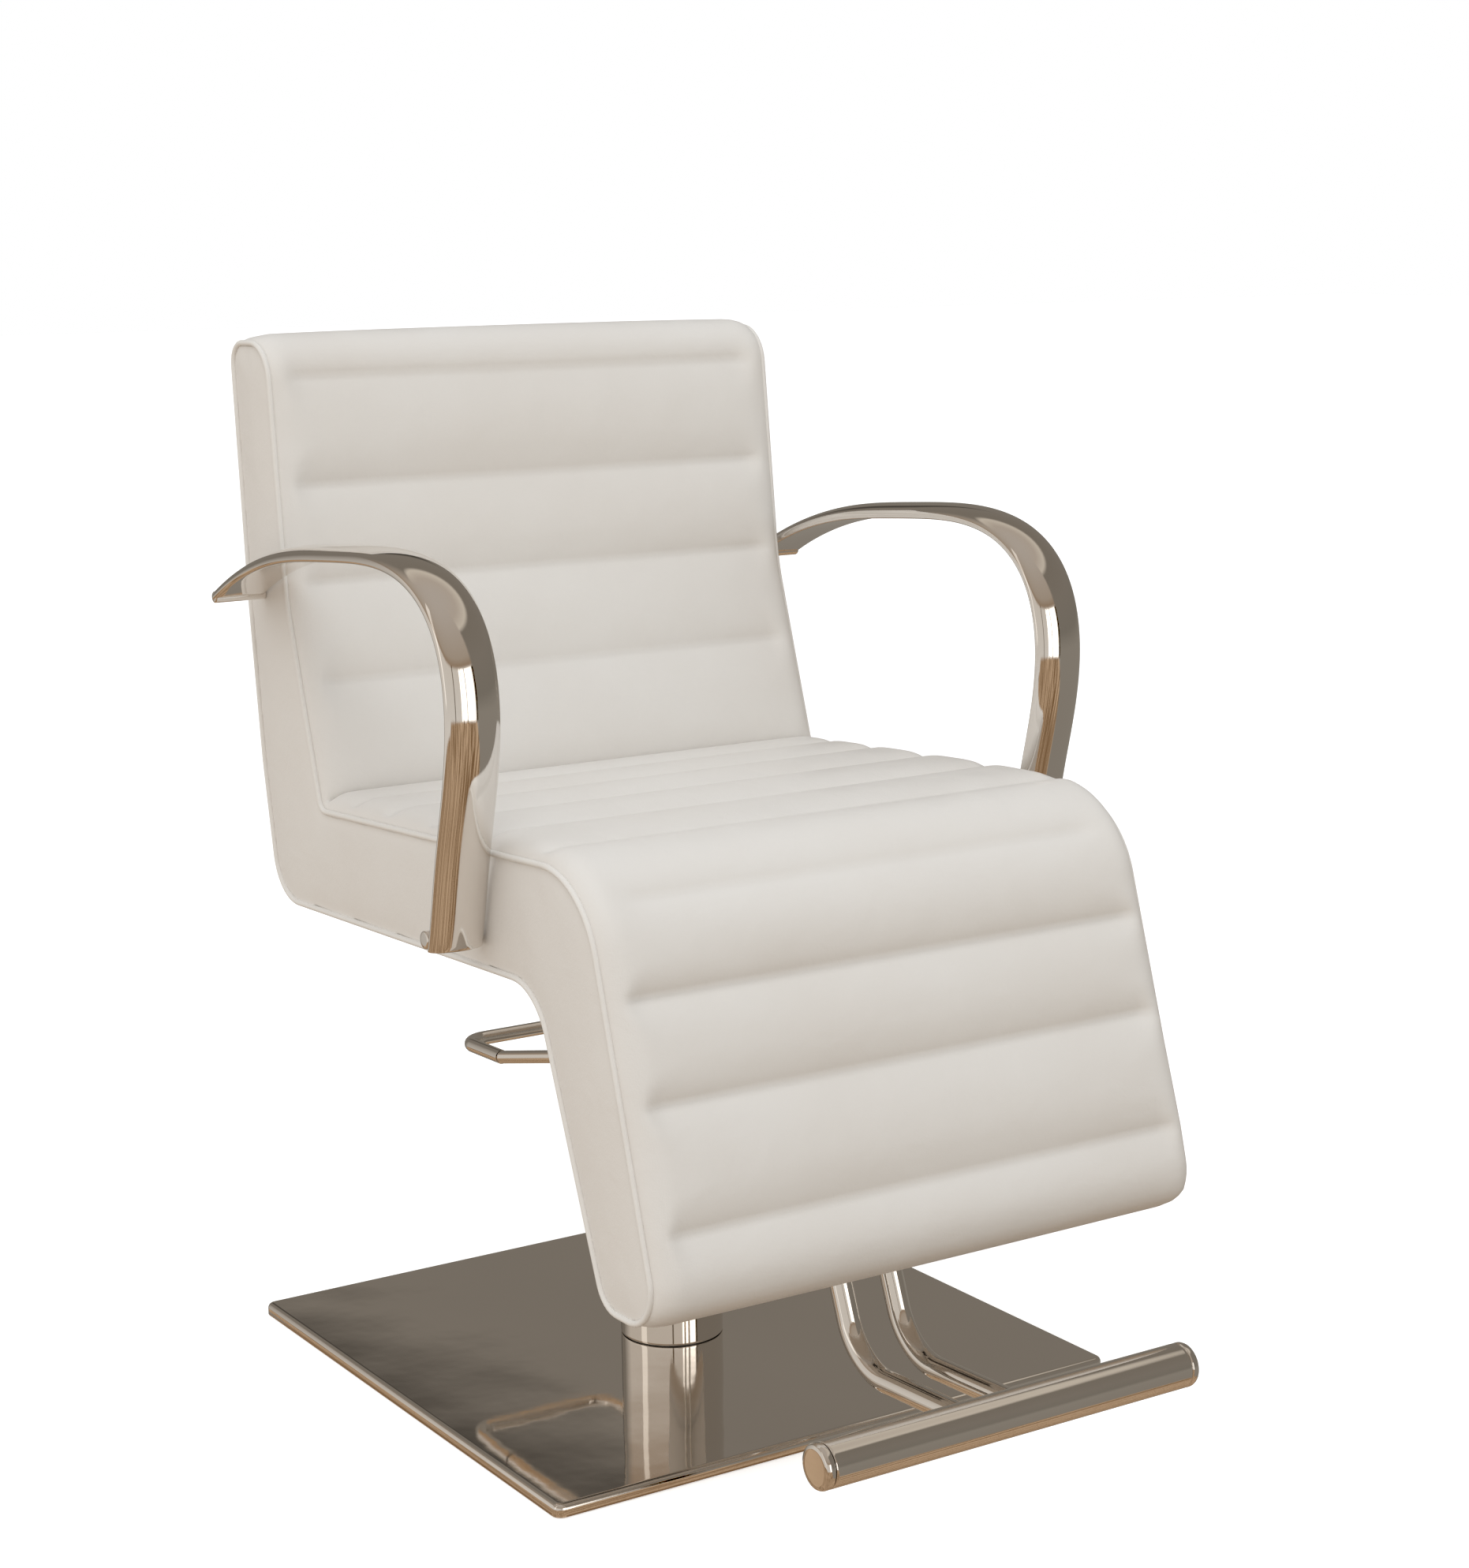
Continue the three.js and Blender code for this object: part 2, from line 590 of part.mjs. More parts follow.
add('piston_rod', pistonRod(), CHROME);
add('mounting_plate', mountingPlate(), PAINTED);
FOUR.forEach((i) => add(`plate_bolt_${i + 1}`, plateBolt(i), STEEL));
add('cross_plate', crossPlate(), PAINTED);
add('back_board', board(BACK_RUN), PLY);
add('seat_board', board(SEAT_RUN), PLY);
add('leg_board', board(LEG_STRAIGHT), PLY);
add('head_roll', headRoll(), LEATHER);
add('back_pad', pad(BACK_RUN), LEATHER);
add('seat_pad', pad(SEAT_RUN), LEATHER);
add('leg_pad', pad(LEG_RUN), LEATHER);
add('toe_roll', toeRoll(), LEATHER);
add('back_shell', shell(REAR_BACK), LEATHER);
add('seat_shell', seatShell(), LEATHER);
add('leg_shell', shell(REAR_LEG), LEATHER);
add('footrest_bracket', footrestBracket(), PAINTED);
add('footrest_bar', footrestBar(), CHROME);

for (const [name, side] of [['right', -1], ['left', 1]]) {
  add(`frame_rail_${name}`, frameRail(side), PAINTED);
  add(`side_panel_${name}`, sidePanel(side), LEATHER);
  add(`arm_${name}`, arm(side), CHROME);
  for (const end of Object.keys(BOSSES)) add(`arm_boss_${name}_${end}`, armBoss(side, end), CHROME);
  add(`footrest_tube_${name}`, footrestTube(side), CHROME);
  add(`bar_cap_${name}`, barCap(side), CHROME);
}

export default group;
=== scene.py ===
# %% [markdown]
# # A salon styling chair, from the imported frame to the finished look
# The engineering model already says where every solid is, in metres, with Z up and the sitter facing -Y.
# This lesson dresses it: a sewn cover over the foam, welts, chrome arms, footrest, column and base plate.
# Every piece repeats the sizes and places of the solids that it stands for, so nothing is fitted by eye.

# %% Load the frame
import json
import math

import bmesh
import bpy
import numpy as np
from mathutils import Matrix, Vector


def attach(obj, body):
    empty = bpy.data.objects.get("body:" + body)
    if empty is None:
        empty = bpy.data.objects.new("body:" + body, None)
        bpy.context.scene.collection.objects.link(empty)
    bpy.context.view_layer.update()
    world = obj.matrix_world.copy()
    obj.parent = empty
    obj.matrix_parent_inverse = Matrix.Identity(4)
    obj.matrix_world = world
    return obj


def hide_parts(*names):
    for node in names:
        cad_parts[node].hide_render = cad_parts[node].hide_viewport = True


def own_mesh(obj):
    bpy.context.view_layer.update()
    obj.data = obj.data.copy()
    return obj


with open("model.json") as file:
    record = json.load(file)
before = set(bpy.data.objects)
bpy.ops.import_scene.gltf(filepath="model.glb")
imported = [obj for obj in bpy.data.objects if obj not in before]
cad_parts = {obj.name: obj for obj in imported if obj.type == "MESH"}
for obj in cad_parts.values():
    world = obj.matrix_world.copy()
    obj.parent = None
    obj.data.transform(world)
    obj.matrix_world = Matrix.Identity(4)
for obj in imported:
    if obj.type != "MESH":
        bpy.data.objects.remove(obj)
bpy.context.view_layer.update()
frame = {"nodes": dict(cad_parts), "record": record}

# %% [markdown]
# ## Camera
# A product view is a long lens from a little above the seat, turned to the sitter's right.
# Aiming it by hand would be quick, but it could not be repeated. Here its place is a point in metres, and its
# turn is worked out from three angles: the bearing round the chair, the rise above level, and the roll.

# %% Set the camera
CAMERA_PLACE = Vector((-1.46343, -2.40275, 1.08169))
CAMERA_BEARING = math.radians(-32.759)
CAMERA_RISE = math.radians(9.149)
CAMERA_ROLL = math.radians(-0.761)


def camera_turn(bearing, rise, roll):
    """The camera's rotation, from where it stands round the chair, how high it looks from, and its roll."""
    level_back = Vector((math.sin(bearing), -math.cos(bearing), 0))
    back = level_back * math.cos(rise) + Vector((0, 0, math.sin(rise)))
    level = (-back).cross(Vector((0, 0, 1))).normalized()
    upright = level.cross(-back)
    right = math.cos(roll) * level + math.sin(roll) * upright
    up = -math.sin(roll) * level + math.cos(roll) * upright
    return Matrix((right, up, back)).transposed().to_4x4()


lens = bpy.data.cameras.new("view")
lens.sensor_width = 36
lens.lens = 68.68
lens.shift_y = -0.0473
lens.clip_end = 200
viewer = bpy.data.objects.new("view", lens)
camera_axes = camera_turn(CAMERA_BEARING, CAMERA_RISE, CAMERA_ROLL)
viewer.matrix_world = Matrix.Translation(CAMERA_PLACE) @ camera_axes
bpy.context.scene.collection.objects.link(viewer)
bpy.context.scene.camera = viewer
print("camera at", [round(v, 3) for v in CAMERA_PLACE])

# %% [markdown]
# ## Small helpers
# Materials in Blender are graphs of nodes. One helper adds a node and fills or links its sockets,
# and another turns a bmesh into a finished piece that rides on its body.

# %% Node and piece helpers
def node(tree, kind, inputs=(), **settings):
    """Adds a shader node, sets its options, and fills each input with a value or a link."""
    made = tree.nodes.new("ShaderNode" + kind)
    for key, value in settings.items():
        setattr(made, key, value)
    for key, value in dict(inputs).items():
        if isinstance(value, bpy.types.NodeSocket):
            tree.links.new(value, made.inputs[key])
        else:
            made.inputs[key].default_value = value
    return made


def math_node(tree, operation, first, second=0.0, clamp=False):
    return node(tree, "Math", {0: first, 1: second}, operation=operation, use_clamp=clamp).outputs[0]


def times(tree, first, second):
    return math_node(tree, "MULTIPLY", first, second)


def new_finish(name, **constants):
    """A material with a Principled shader, and the object coordinates that its patterns read."""
    finish = bpy.data.materials.new(name)
    finish.use_nodes = True
    tree = finish.node_tree
    shader = tree.nodes["Principled BSDF"]
    for key, value in constants.items():
        shader.inputs[key.replace("_", " ")].default_value = value
    place = node(tree, "TexCoord").outputs["Object"]
    return finish, tree, shader, place


def noise_field(tree, place, scale, detail=2.0, stretch=(1, 1, 1), distortion=0.0):
    spot = node(tree, "Mapping", {"Vector": place, "Scale": stretch}).outputs[0]
    inputs = {"Vector": spot, "Scale": scale, "Detail": detail, "Distortion": distortion}
    return node(tree, "TexNoise", inputs).outputs["Fac"]


def between(tree, factor, low, high, start=0.3, stop=0.7):
    """Low where the factor is at or under start, high where it is at or over stop, and even between."""
    inputs = {"Value": factor, "From Min": start, "From Max": stop, "To Min": low, "To Max": high}
    return node(tree, "MapRange", inputs).outputs[0]


def two_tone(tree, factor, first, second):
    """One colour where the factor is under a quarter, the other over three quarters, blended between."""
    ramp = node(tree, "ValToRGB", {"Fac": factor})
    ramp.color_ramp.elements[0].color = (*first, 1)
    ramp.color_ramp.elements[1].color = (*second, 1)
    ramp.color_ramp.elements[0].position = 0.25
    ramp.color_ramp.elements[1].position = 0.75
    return ramp.outputs["Color"]


def paint(tree, shader, colour, roughness=None, grain=()):
    """Links a colour, a roughness, and a stack of bumps given as (height field, depth in metres)."""
    tree.links.new(colour, shader.inputs["Base Color"])
    if roughness is not None:
        tree.links.new(roughness, shader.inputs["Roughness"])
    for height, depth in grain:
        bump = node(tree, "Bump", {"Height": height, "Distance": depth, "Strength": 1.0})
        for below in shader.inputs["Normal"].links:
            tree.links.new(below.from_socket, bump.inputs["Normal"])
        tree.links.new(bump.outputs[0], shader.inputs["Normal"])


def placed(name, data):
    """An object in the scene, at the origin."""
    made = bpy.data.objects.new(name, data)
    bpy.context.scene.collection.objects.link(made)
    return made


def plain_mesh(held):
    """The mesh of a working object with its modifiers applied. The object is removed."""
    made = bpy.data.meshes.new_from_object(held.evaluated_get(bpy.context.evaluated_depsgraph_get()))
    bpy.data.objects.remove(held)
    return made


def finish_piece(name, mesh, body, finish, replaces=(), crisp=None):
    """Makes the object, shades it smooth, sets it on the body it rides on, and hides the solids it stands
    for.
    """
    made = placed(name, mesh)
    mesh.name = name
    mesh.materials.clear()
    mesh.materials.append(finish)
    mesh.shade_smooth()
    if crisp:
        mesh.set_sharp_from_angle(angle=math.radians(crisp))
    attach(made, body)
    if replaces:
        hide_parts(*replaces)
    return made


def mesh_from(bm):
    mesh = bpy.data.meshes.new("shape")
    bm.to_mesh(mesh)
    bm.free()
    return mesh


def closed_mesh(bm):
    """The mesh with its normals turned outward."""
    bmesh.ops.recalc_face_normals(bm, faces=bm.faces)
    return mesh_from(bm)


print("helpers ready")

# %% [markdown]
# ## Cover material
# Salon chairs are covered in a soft coated fabric that looks like fine calf leather. It has pores about a
# millimetre across, a low gloss that varies a little, and a colour that is never quite even.
# The pores are cells in space, so they need no unwrapping and run unbroken over seams.

# %% Cream leatherette and its welt
CREAM, CREAM_SHADE = (0.80, 0.777, 0.742), (0.775, 0.745, 0.705)
WELT_CREAM, WELT_SHADE = (0.82, 0.797, 0.76), (0.79, 0.765, 0.725)
COVER_GLOSS = (0.40, 0.52)
CREASE_DEPTH = 0.0012


def leatherette(name, light, shade, pore_depth):
    """A coated cloth with pores and slow creases. Depths are in metres."""
    finish, tree, shader, place = new_finish(name, Specular_IOR_Level=0.42, Sheen_Weight=0.08,
                                             Sheen_Roughness=0.4)
    cream = two_tone(tree, noise_field(tree, place, 7.0, 3.0), shade, light)
    rubbed = between(tree, noise_field(tree, place, 34.0, 4.0), *COVER_GLOSS)
    wander = noise_field(tree, place, 260.0, 2.0)
    cells = {"Vector": place, "Scale": 620.0, "Randomness": 1.0}
    pores = node(tree, "TexVoronoi", cells).outputs["Distance"]
    creases = noise_field(tree, place, 22.0, 3.0, distortion=0.4)
    layers = [(creases, CREASE_DEPTH), (wander, pore_depth * 2), (pores, pore_depth)]
    paint(tree, shader, cream, rubbed, layers)
    return finish


cover_finish = leatherette("calf_grain_cover", CREAM, CREAM_SHADE, pore_depth=0.00006)
welt_finish = leatherette("cream_welt", WELT_CREAM, WELT_SHADE, pore_depth=0.00004)
print("cover finishes", cover_finish.name, welt_finish.name)

# %% [markdown]
# ## Metals
# Chrome over polished steel is a mirror whose surface still carries the waves of the steel beneath it.
# Those slow waves, and hairline marks from wiping, tell the eye that it is plated metal and not glass.

# %% Chrome and turned steel
CHROME, CHROME_SHADE = (0.835, 0.80, 0.76), (0.80, 0.765, 0.725)
HAIRLINE_DEPTH = 0.000004


def chrome(name, wave, wave_size, ripple, polish):
    """A mirror with slow waves and small ripples, whose depths are in metres, and a range of polish."""
    finish, tree, shader, place = new_finish(name, Metallic=1.0)
    tint = two_tone(tree, noise_field(tree, place, 4.0, 2.0), CHROME_SHADE, CHROME)
    wiped = between(tree, noise_field(tree, place, 60.0, 5.0, stretch=(1, 1, 6)), *polish)
    waves = noise_field(tree, place, wave_size, 1.0)
    ripples = noise_field(tree, place, 38.0, 1.0)
    hairlines = noise_field(tree, place, 500.0, 2.0, stretch=(1, 1, 12))
    paint(tree, shader, tint, wiped, [(waves, wave), (ripples, ripple), (hairlines, HAIRLINE_DEPTH)])
    return finish


def dull_steel(name, light, shade):
    """Steel left from the lathe, with fine turned marks and a little stain."""
    finish, tree, shader, place = new_finish(name, Metallic=1.0)
    stain = noise_field(tree, place, 45.0, 4.0)
    marks = noise_field(tree, place, 900.0, 2.0, stretch=(0.15, 0.15, 1))
    steel = two_tone(tree, stain, shade, light)
    paint(tree, shader, steel, between(tree, stain, 0.45, 0.28), [(marks, 0.00003)])
    return finish


chrome_finish = chrome("warm_chrome", wave=0.0004, wave_size=9.0, ripple=0.00002, polish=(0.025, 0.07))
plate_finish = chrome("mirror_plate", wave=0.0008, wave_size=7.0, ripple=0.00004, polish=(0.02, 0.05))
steel_finish = dull_steel("turned_steel", (0.58, 0.57, 0.55), (0.42, 0.41, 0.40))
print("metals", chrome_finish.name, plate_finish.name, steel_finish.name)


# %% Enamel, plywood and rubber
def black_enamel(name):
    """Sprayed enamel with orange peel and a little dust."""
    finish, tree, shader, place = new_finish(name, Coat_Weight=0.3, Coat_Roughness=0.15)
    dust = noise_field(tree, place, 30.0, 4.0)
    black = two_tone(tree, dust, (0.018, 0.018, 0.020), (0.034, 0.033, 0.032))
    peel = noise_field(tree, place, 420.0, 1.0)
    paint(tree, shader, black, between(tree, dust, 0.30, 0.46), [(peel, 0.00004)])
    return finish


def plywood(name):
    """Bare birch plywood: thin plies lying level, and fibres running across the chair."""
    finish, tree, shader, place = new_finish(name, Roughness=0.62)
    plies = noise_field(tree, place, 12.0, 3.0, stretch=(1, 1, 40))
    fibres = noise_field(tree, place, 160.0, 4.0, stretch=(0.05, 1, 1))
    grain = math_node(tree, "ADD", times(tree, plies, 0.5), fibres)
    birch = two_tone(tree, grain, (0.42, 0.28, 0.16), (0.66, 0.49, 0.31))
    paint(tree, shader, birch, grain=[(fibres, 0.0002)])
    return finish


def black_rubber(name):
    """Moulded rubber with a dusty bloom."""
    finish, tree, shader, place = new_finish(name, Specular_IOR_Level=0.3)
    bloom = noise_field(tree, place, 60.0, 4.0)
    black = two_tone(tree, bloom, (0.022, 0.022, 0.022), (0.045, 0.043, 0.041))
    skin = noise_field(tree, place, 900.0, 2.0)
    paint(tree, shader, black, between(tree, bloom, 0.68, 0.85), [(skin, 0.00008)])
    return finish


enamel_finish = black_enamel("satin_black")
wood_finish = plywood("birch_plywood")
rubber_finish = black_rubber("dusty_rubber")
print("plain finishes", enamel_finish.name, wood_finish.name, rubber_finish.name)

# %% Give every CAD solid its finish
SLOT_FINISH = {
    "polished_chrome": chrome_finish, "machined_steel": steel_finish, "black_enamel": enamel_finish,
    "plywood": wood_finish, "black_rubber": rubber_finish,
    "covered_foam": cover_finish, "cream_leatherette": cover_finish,
}
for row in frame["record"]["subparts"]:
    for held in frame["nodes"][row["node"]].material_slots:
        held.material = SLOT_FINISH[row["material_slot"]]
print("dressed", len(frame["nodes"]), "solids")

# %% [markdown]
# ## The side profile
# The whole body is one S-shaped side profile: down the back, over the seat, down the leg rest, and up behind.
# A maker draws it as straight runs joined by rounded corners, and so does this cell. The outline is then cut
# into even steps, each with its outward direction, and both covers and the welts are laid out from it.

# %% Draw the side profile
MM = 0.001
# Corners as y, z and rounding, in millimetres, from the rear top, down the sitter's side, and up the rear.
PROFILE = [
    (329, 977, 20), (251, 978, 38), (225, 735, 250), (163, 538, 14), (-333, 563, 86), (-441, 204, 34),
    (-357, 203, 28), (-254, 456, 62), (262, 438.5, 48), (288, 570, 200), (307, 720, 300),
]
PROFILE_STEP = 5.2 * MM


def corner_arc(before, corner, after, radius, step, fewest):
    """Points along the arc that rounds a corner, at least so many and no more than a step apart."""
    back = (before - corner).normalized()
    ahead = (after - corner).normalized()
    half = back.angle(ahead) / 2
    centre = corner + (back + ahead).normalized() * radius / math.sin(half)
    start = corner + back * radius / math.tan(half) - centre
    sweep = back.angle_signed(-ahead)
    count = max(fewest, math.ceil(abs(sweep) * radius / step))
    return [centre + Matrix.Rotation(-sweep * k / count, 2) @ start for k in range(count + 1)]


def rounded_outline(corners, step):
    """Points along a closed outline whose corners are rounded by arcs."""
    places = [Vector(corner[:2]) * MM for corner in corners]
    points = []
    for i, (_, _, radius) in enumerate(corners):
        after = places[(i + 1) % len(places)]
        points += corner_arc(places[i - 1], places[i], after, radius * MM, step / 3, 2)
    return np.array(points)


def length_along(points):
    """How far along a path each of its points is."""
    return np.concatenate([[0], np.cumsum(np.linalg.norm(np.diff(points, axis=0), axis=1))])


def even_steps(points, step):
    """The same closed outline cut into equal steps."""
    closed = np.vstack([points, points[:1]])
    along = length_along(closed)
    count = round(along[-1] / step)
    wanted = np.linspace(0, along[-1], count, endpoint=False)
    return np.column_stack([np.interp(wanted, along, closed[:, k]) for k in (0, 1)]), along[-1] / count


outline, outline_step = even_steps(rounded_outline(PROFILE, PROFILE_STEP), PROFILE_STEP)
tangents = np.roll(outline, -1, axis=0) - np.roll(outline, 1, axis=0)
tangents /= np.linalg.norm(tangents, axis=1)[:, None]
outward = np.column_stack([tangents[:, 1], -tangents[:, 0]])
STATIONS = len(outline)


def station(y, z):
    """The step of the outline nearest to a point given in millimetres."""
    return int(np.argmin(np.hypot(*(outline - np.array([y, z]) * MM).T)))


print("outline of", STATIONS, "steps,", round(outline_step * STATIONS, 3), "m round")

# %% [markdown]
# ## The channelled cover
# On the real chair the cover of the sitter's side is sewn through to the foam in rows, so it swells into
# pillows between the seams. It could be carved with a displacement map, but then the outline would stay flat.
# Here a flat sheet is bent over the profile with shallow pillows, and a cloth simulation then blows it up
# against its seams, as foam under a tight cover does. The seams, the sewn edges and the ends stay pinned.

# %% Where the seams and the swell are
# Seams across the sitter's side: the place y, z, how deep the seam is sewn, and how far in from the sewn
# edge it reaches that depth, in millimetres.
SEAMS = [
    (247, 948, 8, 34), (236, 842, 8.5, 34), (226, 748, 8.5, 34), (199, 652, 8.5, 34), (163, 538, 9, 10),
    (98, 541, 5.5, 9), (26, 545, 8, 9), (-61, 549, 8, 9), (-158, 554, 8, 9), (-262, 559, 6.5, 12),
    (-338, 538, 5, 60), (-363, 461, 10.5, 30), (-389, 377, 10.5, 30), (-419, 277, 10.5, 30),
]
# How far the padding stands over the profile, in millimetres, at points round the outline.
SWELL = [
    (329, 962, 0), (322, 974, 6), (290, 978, 9), (251, 968, 9), (247, 930, 8), (236, 842, 10), (226, 748, 15),
    (199, 652, 17), (170, 560, 18), (150, 539, 19), (31, 545, 20), (-158, 554, 20), (-280, 560, 17),
    (-338, 538, 15), (-389, 377, 19), (-419, 277, 22), (-436, 220, 18), (-425, 205, 10), (-400, 204, 5),
    (-366, 203, 3),
]
# A higher power makes the pillows fuller and the seams narrower.
PILLOW_POWER = 4.5
ROUNDOVER = 23 * MM

last_station = station(-351, 219)
seam_stations = [station(y, z) for y, z, _, _ in SEAMS]
swell_at = [station(y, z) for y, z, _ in SWELL]
print("seams at steps", seam_stations, "cover ends at", last_station)

# %% Bend a sheet over the profile
# Half the sheet's width, and its columns near the sewn edge, as distances from it.
EDGE = 281 * MM
EDGE_STEPS = np.array([0, 0.8, 2.2, 4.2, 6.8, 10, 13.8, 18, 23, 28.5, 34.5, 41, 48]) * MM
MIDDLE_STEP = 7.5 * MM


def widths():
    """Where the sheet's columns stand across the chair: close together near the sewn edges."""
    outer, inner = EDGE - EDGE_STEPS[:-1], EDGE - EDGE_STEPS[-1]
    middle = np.linspace(-inner, inner, round(2 * inner / MIDDLE_STEP) + 1)
    return np.concatenate([-outer, middle, outer[::-1]])


def on_outline(at, field):
    """The outline's points or directions at fractional steps, counting on past the closing step."""
    steps = np.arange(STATIONS + 1)
    closed = np.vstack([field, field[:1]])
    return np.column_stack([np.interp(at, steps, closed[:, k]) for k in (0, 1)])


def pillow_dip(at, seams, depths):
    """How far the cover falls from its pillows' tops, at fractional steps along the outline."""
    seam_count = np.interp(at, seams, np.arange(len(seams)))
    part = seam_count - np.floor(seam_count)
    nearest = np.round(seam_count).astype(int)
    return np.array(depths)[nearest] * np.abs(2 * part - 1) ** PILLOW_POWER * MM


def bent_sheet(start, stop, height):
    """A grid sheet laid on the outline from one step to another, standing off it by height(at, inset)."""
    across = widths()
    along = np.linspace(start, stop, stop - start + 1)
    bm = bmesh.new()
    bmesh.ops.create_grid(bm, x_segments=len(across) - 1, y_segments=len(along) - 1, size=1)
    spots = np.array([v.co[:2] for v in bm.verts])
    column = np.rint((spots[:, 0] + 1) / 2 * (len(across) - 1)).astype(int)
    row = np.rint((spots[:, 1] + 1) / 2 * (len(along) - 1)).astype(int)
    at, x = along[row], across[column]
    inset = EDGE - np.abs(x)
    stand = height(at, inset)
    flat = on_outline(at, outline) + on_outline(at, outward) * stand[:, None]
    for vert, across_place, (y, z) in zip(bm.verts, x, flat):
        vert.co = (across_place, y, z)
    bmesh.ops.reverse_faces(bm, faces=bm.faces)
    return bm, at, inset


def roundover(inset, reach=ROUNDOVER):
    """A quarter ellipse from 0 at the sewn edge to 1 at the reach."""
    return np.sqrt(1 - (1 - np.clip(inset / reach, 0, 1)) ** 2)


def seam_reach(at):
    """How far in from the sewn edge the nearest seams reach their depth."""
    return np.interp(at, seam_stations, [reach for _, _, _, reach in SEAMS]) * MM


def cover_height(at, inset):
    swell = np.interp(at, swell_at, [rise for _, _, rise in SWELL]) * MM
    depths = [0, *(depth for _, _, depth, _ in SEAMS), 0]
    dip = pillow_dip(at, [0, *seam_stations, last_station], depths)
    # The seams fade in from a fifth of their reach, along a smooth step.
    fade = np.clip((inset / seam_reach(at) - 0.2) / 0.8, 0, 1)
    fade = fade * fade * (3 - 2 * fade)
    return swell * roundover(inset) - dip * fade


sheet_bm, sheet_at, sheet_inset = bent_sheet(0, last_station, cover_height)
print("cover sheet:", len(sheet_bm.verts), "points")

# %% [markdown]
# ## Blowing up the cover
# Blender's Cloth gives the pillows their real form: pressure pushes the sheet out, tension holds it between
# the seams, and it gathers a little where a seam ends short of the edge. The move is capped, so the padding
# keeps its room, and the result is written into the mesh, so that no simulation is left on the piece.

# %% Cloth helper
CLOTH_FRAMES = 20


def points_of(mesh):
    """The places of a mesh's points, one row each."""
    places = np.zeros(len(mesh.vertices) * 3)
    mesh.vertices.foreach_get("co", places)
    return places.reshape(-1, 3)


def tight_cover_cloth(held, pressure):
    """A stiff, weightless cloth that is pinned by the group called pins and pushed out by pressure."""
    cloth = held.modifiers.new("cloth", "CLOTH")
    settings = cloth.settings
    settings.quality = 6
    settings.mass = 0.4
    settings.tension_stiffness = settings.compression_stiffness = 25
    settings.shear_stiffness = 12
    settings.bending_stiffness = 3
    settings.air_damping = 4
    settings.vertex_group_mass = "pins"
    settings.use_pressure = True
    settings.uniform_pressure_force = pressure
    settings.effector_weights.gravity = 0
    cloth.collision_settings.use_collision = False
    cloth.point_cache.frame_start, cloth.point_cache.frame_end = 1, CLOTH_FRAMES


def blow_up(mesh, pins, pressure, cap):
    """Moves the mesh as cloth, holding the pinned points and capping how far the others move."""
    before = points_of(mesh)
    held = placed("cloth_run", mesh)
    group = held.vertex_groups.new(name="pins")
    for index, weight in enumerate(pins):
        group.add([index], float(weight), "REPLACE")
    tight_cover_cloth(held, pressure)
    for step in range(1, CLOTH_FRAMES + 1):
        bpy.context.scene.frame_set(step)
    move = points_of(plain_mesh(held)) - before
    length = np.linalg.norm(move, axis=1)
    share = cap * np.tanh(length / cap) / np.maximum(length, 1e-9)
    mesh.vertices.foreach_set("co", (before + move * share[:, None]).ravel())
    bpy.context.scene.frame_set(1)
    print("blown up", mesh.name, "mean move", round(float(length.mean()) * 1000, 2), "mm")


def cover_pins(at, inset, edge_hold):
    """1 on the sewn edges, the ends and the seams, and 0 where the cover is free."""
    on_seam = np.isin(np.rint(at).astype(int), seam_stations) & (inset > 0.8 * seam_reach(at))
    at_end = (at <= at.min()) | (at >= at.max())
    return np.clip(on_seam * 1.0 + at_end + (inset <= edge_hold), 0, 1)


cover_mesh = mesh_from(sheet_bm)
blow_up(cover_mesh, cover_pins(sheet_at, sheet_inset, 3 * MM), pressure=3.0, cap=5 * MM)

# %% The channelled cover as a piece
FABRIC = 1.4 * MM


def add_thickness(piece, thickness):
    """Gives a sheet a wall that grows inward from its face."""
    wall = piece.modifiers.new("wall", "SOLIDIFY")
    wall.thickness = thickness
    wall.offset = -1


FRONT_PADS = ("head_roll", "back_pad", "seat_pad", "leg_pad", "toe_roll")
channelled_cover = finish_piece("channelled_cover", cover_mesh, "seat", cover_finish,
                                FRONT_PADS)
add_thickness(channelled_cover, FABRIC)
print("channelled cover stands for", FRONT_PADS)

# %% [markdown]
# ## The rear cover
# Behind, the cover is one plain taut panel over thin padding. It meets the channelled cover in a sewn seam
# just under the top edge and behind the toe. The same bent sheet makes it, with a low even swell.

# %% Rear cover
REAR_SWELL = [(-351, 219, 0), (-340, 244, 3.5), (-262, 436, 3.5), (-240, 453, 0.6), (230, 436, 0.6),
              (276, 470, 4), (307, 720, 7), (324, 930, 5)]
REAR_ROUNDOVER = 40 * MM
rear_at = [station(y, z) for y, z, _ in REAR_SWELL] + [STATIONS]
rear_rise = [rise for _, _, rise in REAR_SWELL] + [0]


def rear_height(at, inset):
    return np.interp(at, rear_at, rear_rise) * MM * roundover(inset, REAR_ROUNDOVER)


rear_bm = bent_sheet(last_station, STATIONS, rear_height)[0]
rear_cover = finish_piece("rear_cover", mesh_from(rear_bm), "seat", cover_finish,
                          ("back_shell", "seat_shell", "leg_shell"))
add_thickness(rear_cover, FABRIC)
print("rear cover", len(rear_cover.data.vertices), "points")

# %% [markdown]
# ## Side covers
# Each side is a board padded with a few millimetres of foam, so its face is never dead flat: it rolls down
# to the welt at its rim. The profile is filled as one face, given thickness and remeshed into an even grid,
# and each point of its outer face is then raised by how far it is from the rim.

# %% Side covers
def filled_profile(thickness):
    bm = bmesh.new()
    ring = [bm.verts.new((0, y, z)) for y, z in outline]
    face = bm.faces.new(ring)
    grown = bmesh.ops.extrude_face_region(bm, geom=[face])["geom"]
    moved = [g for g in grown if isinstance(g, bmesh.types.BMVert)]
    bmesh.ops.translate(bm, verts=moved, vec=(thickness, 0, 0))
    return closed_mesh(bm)


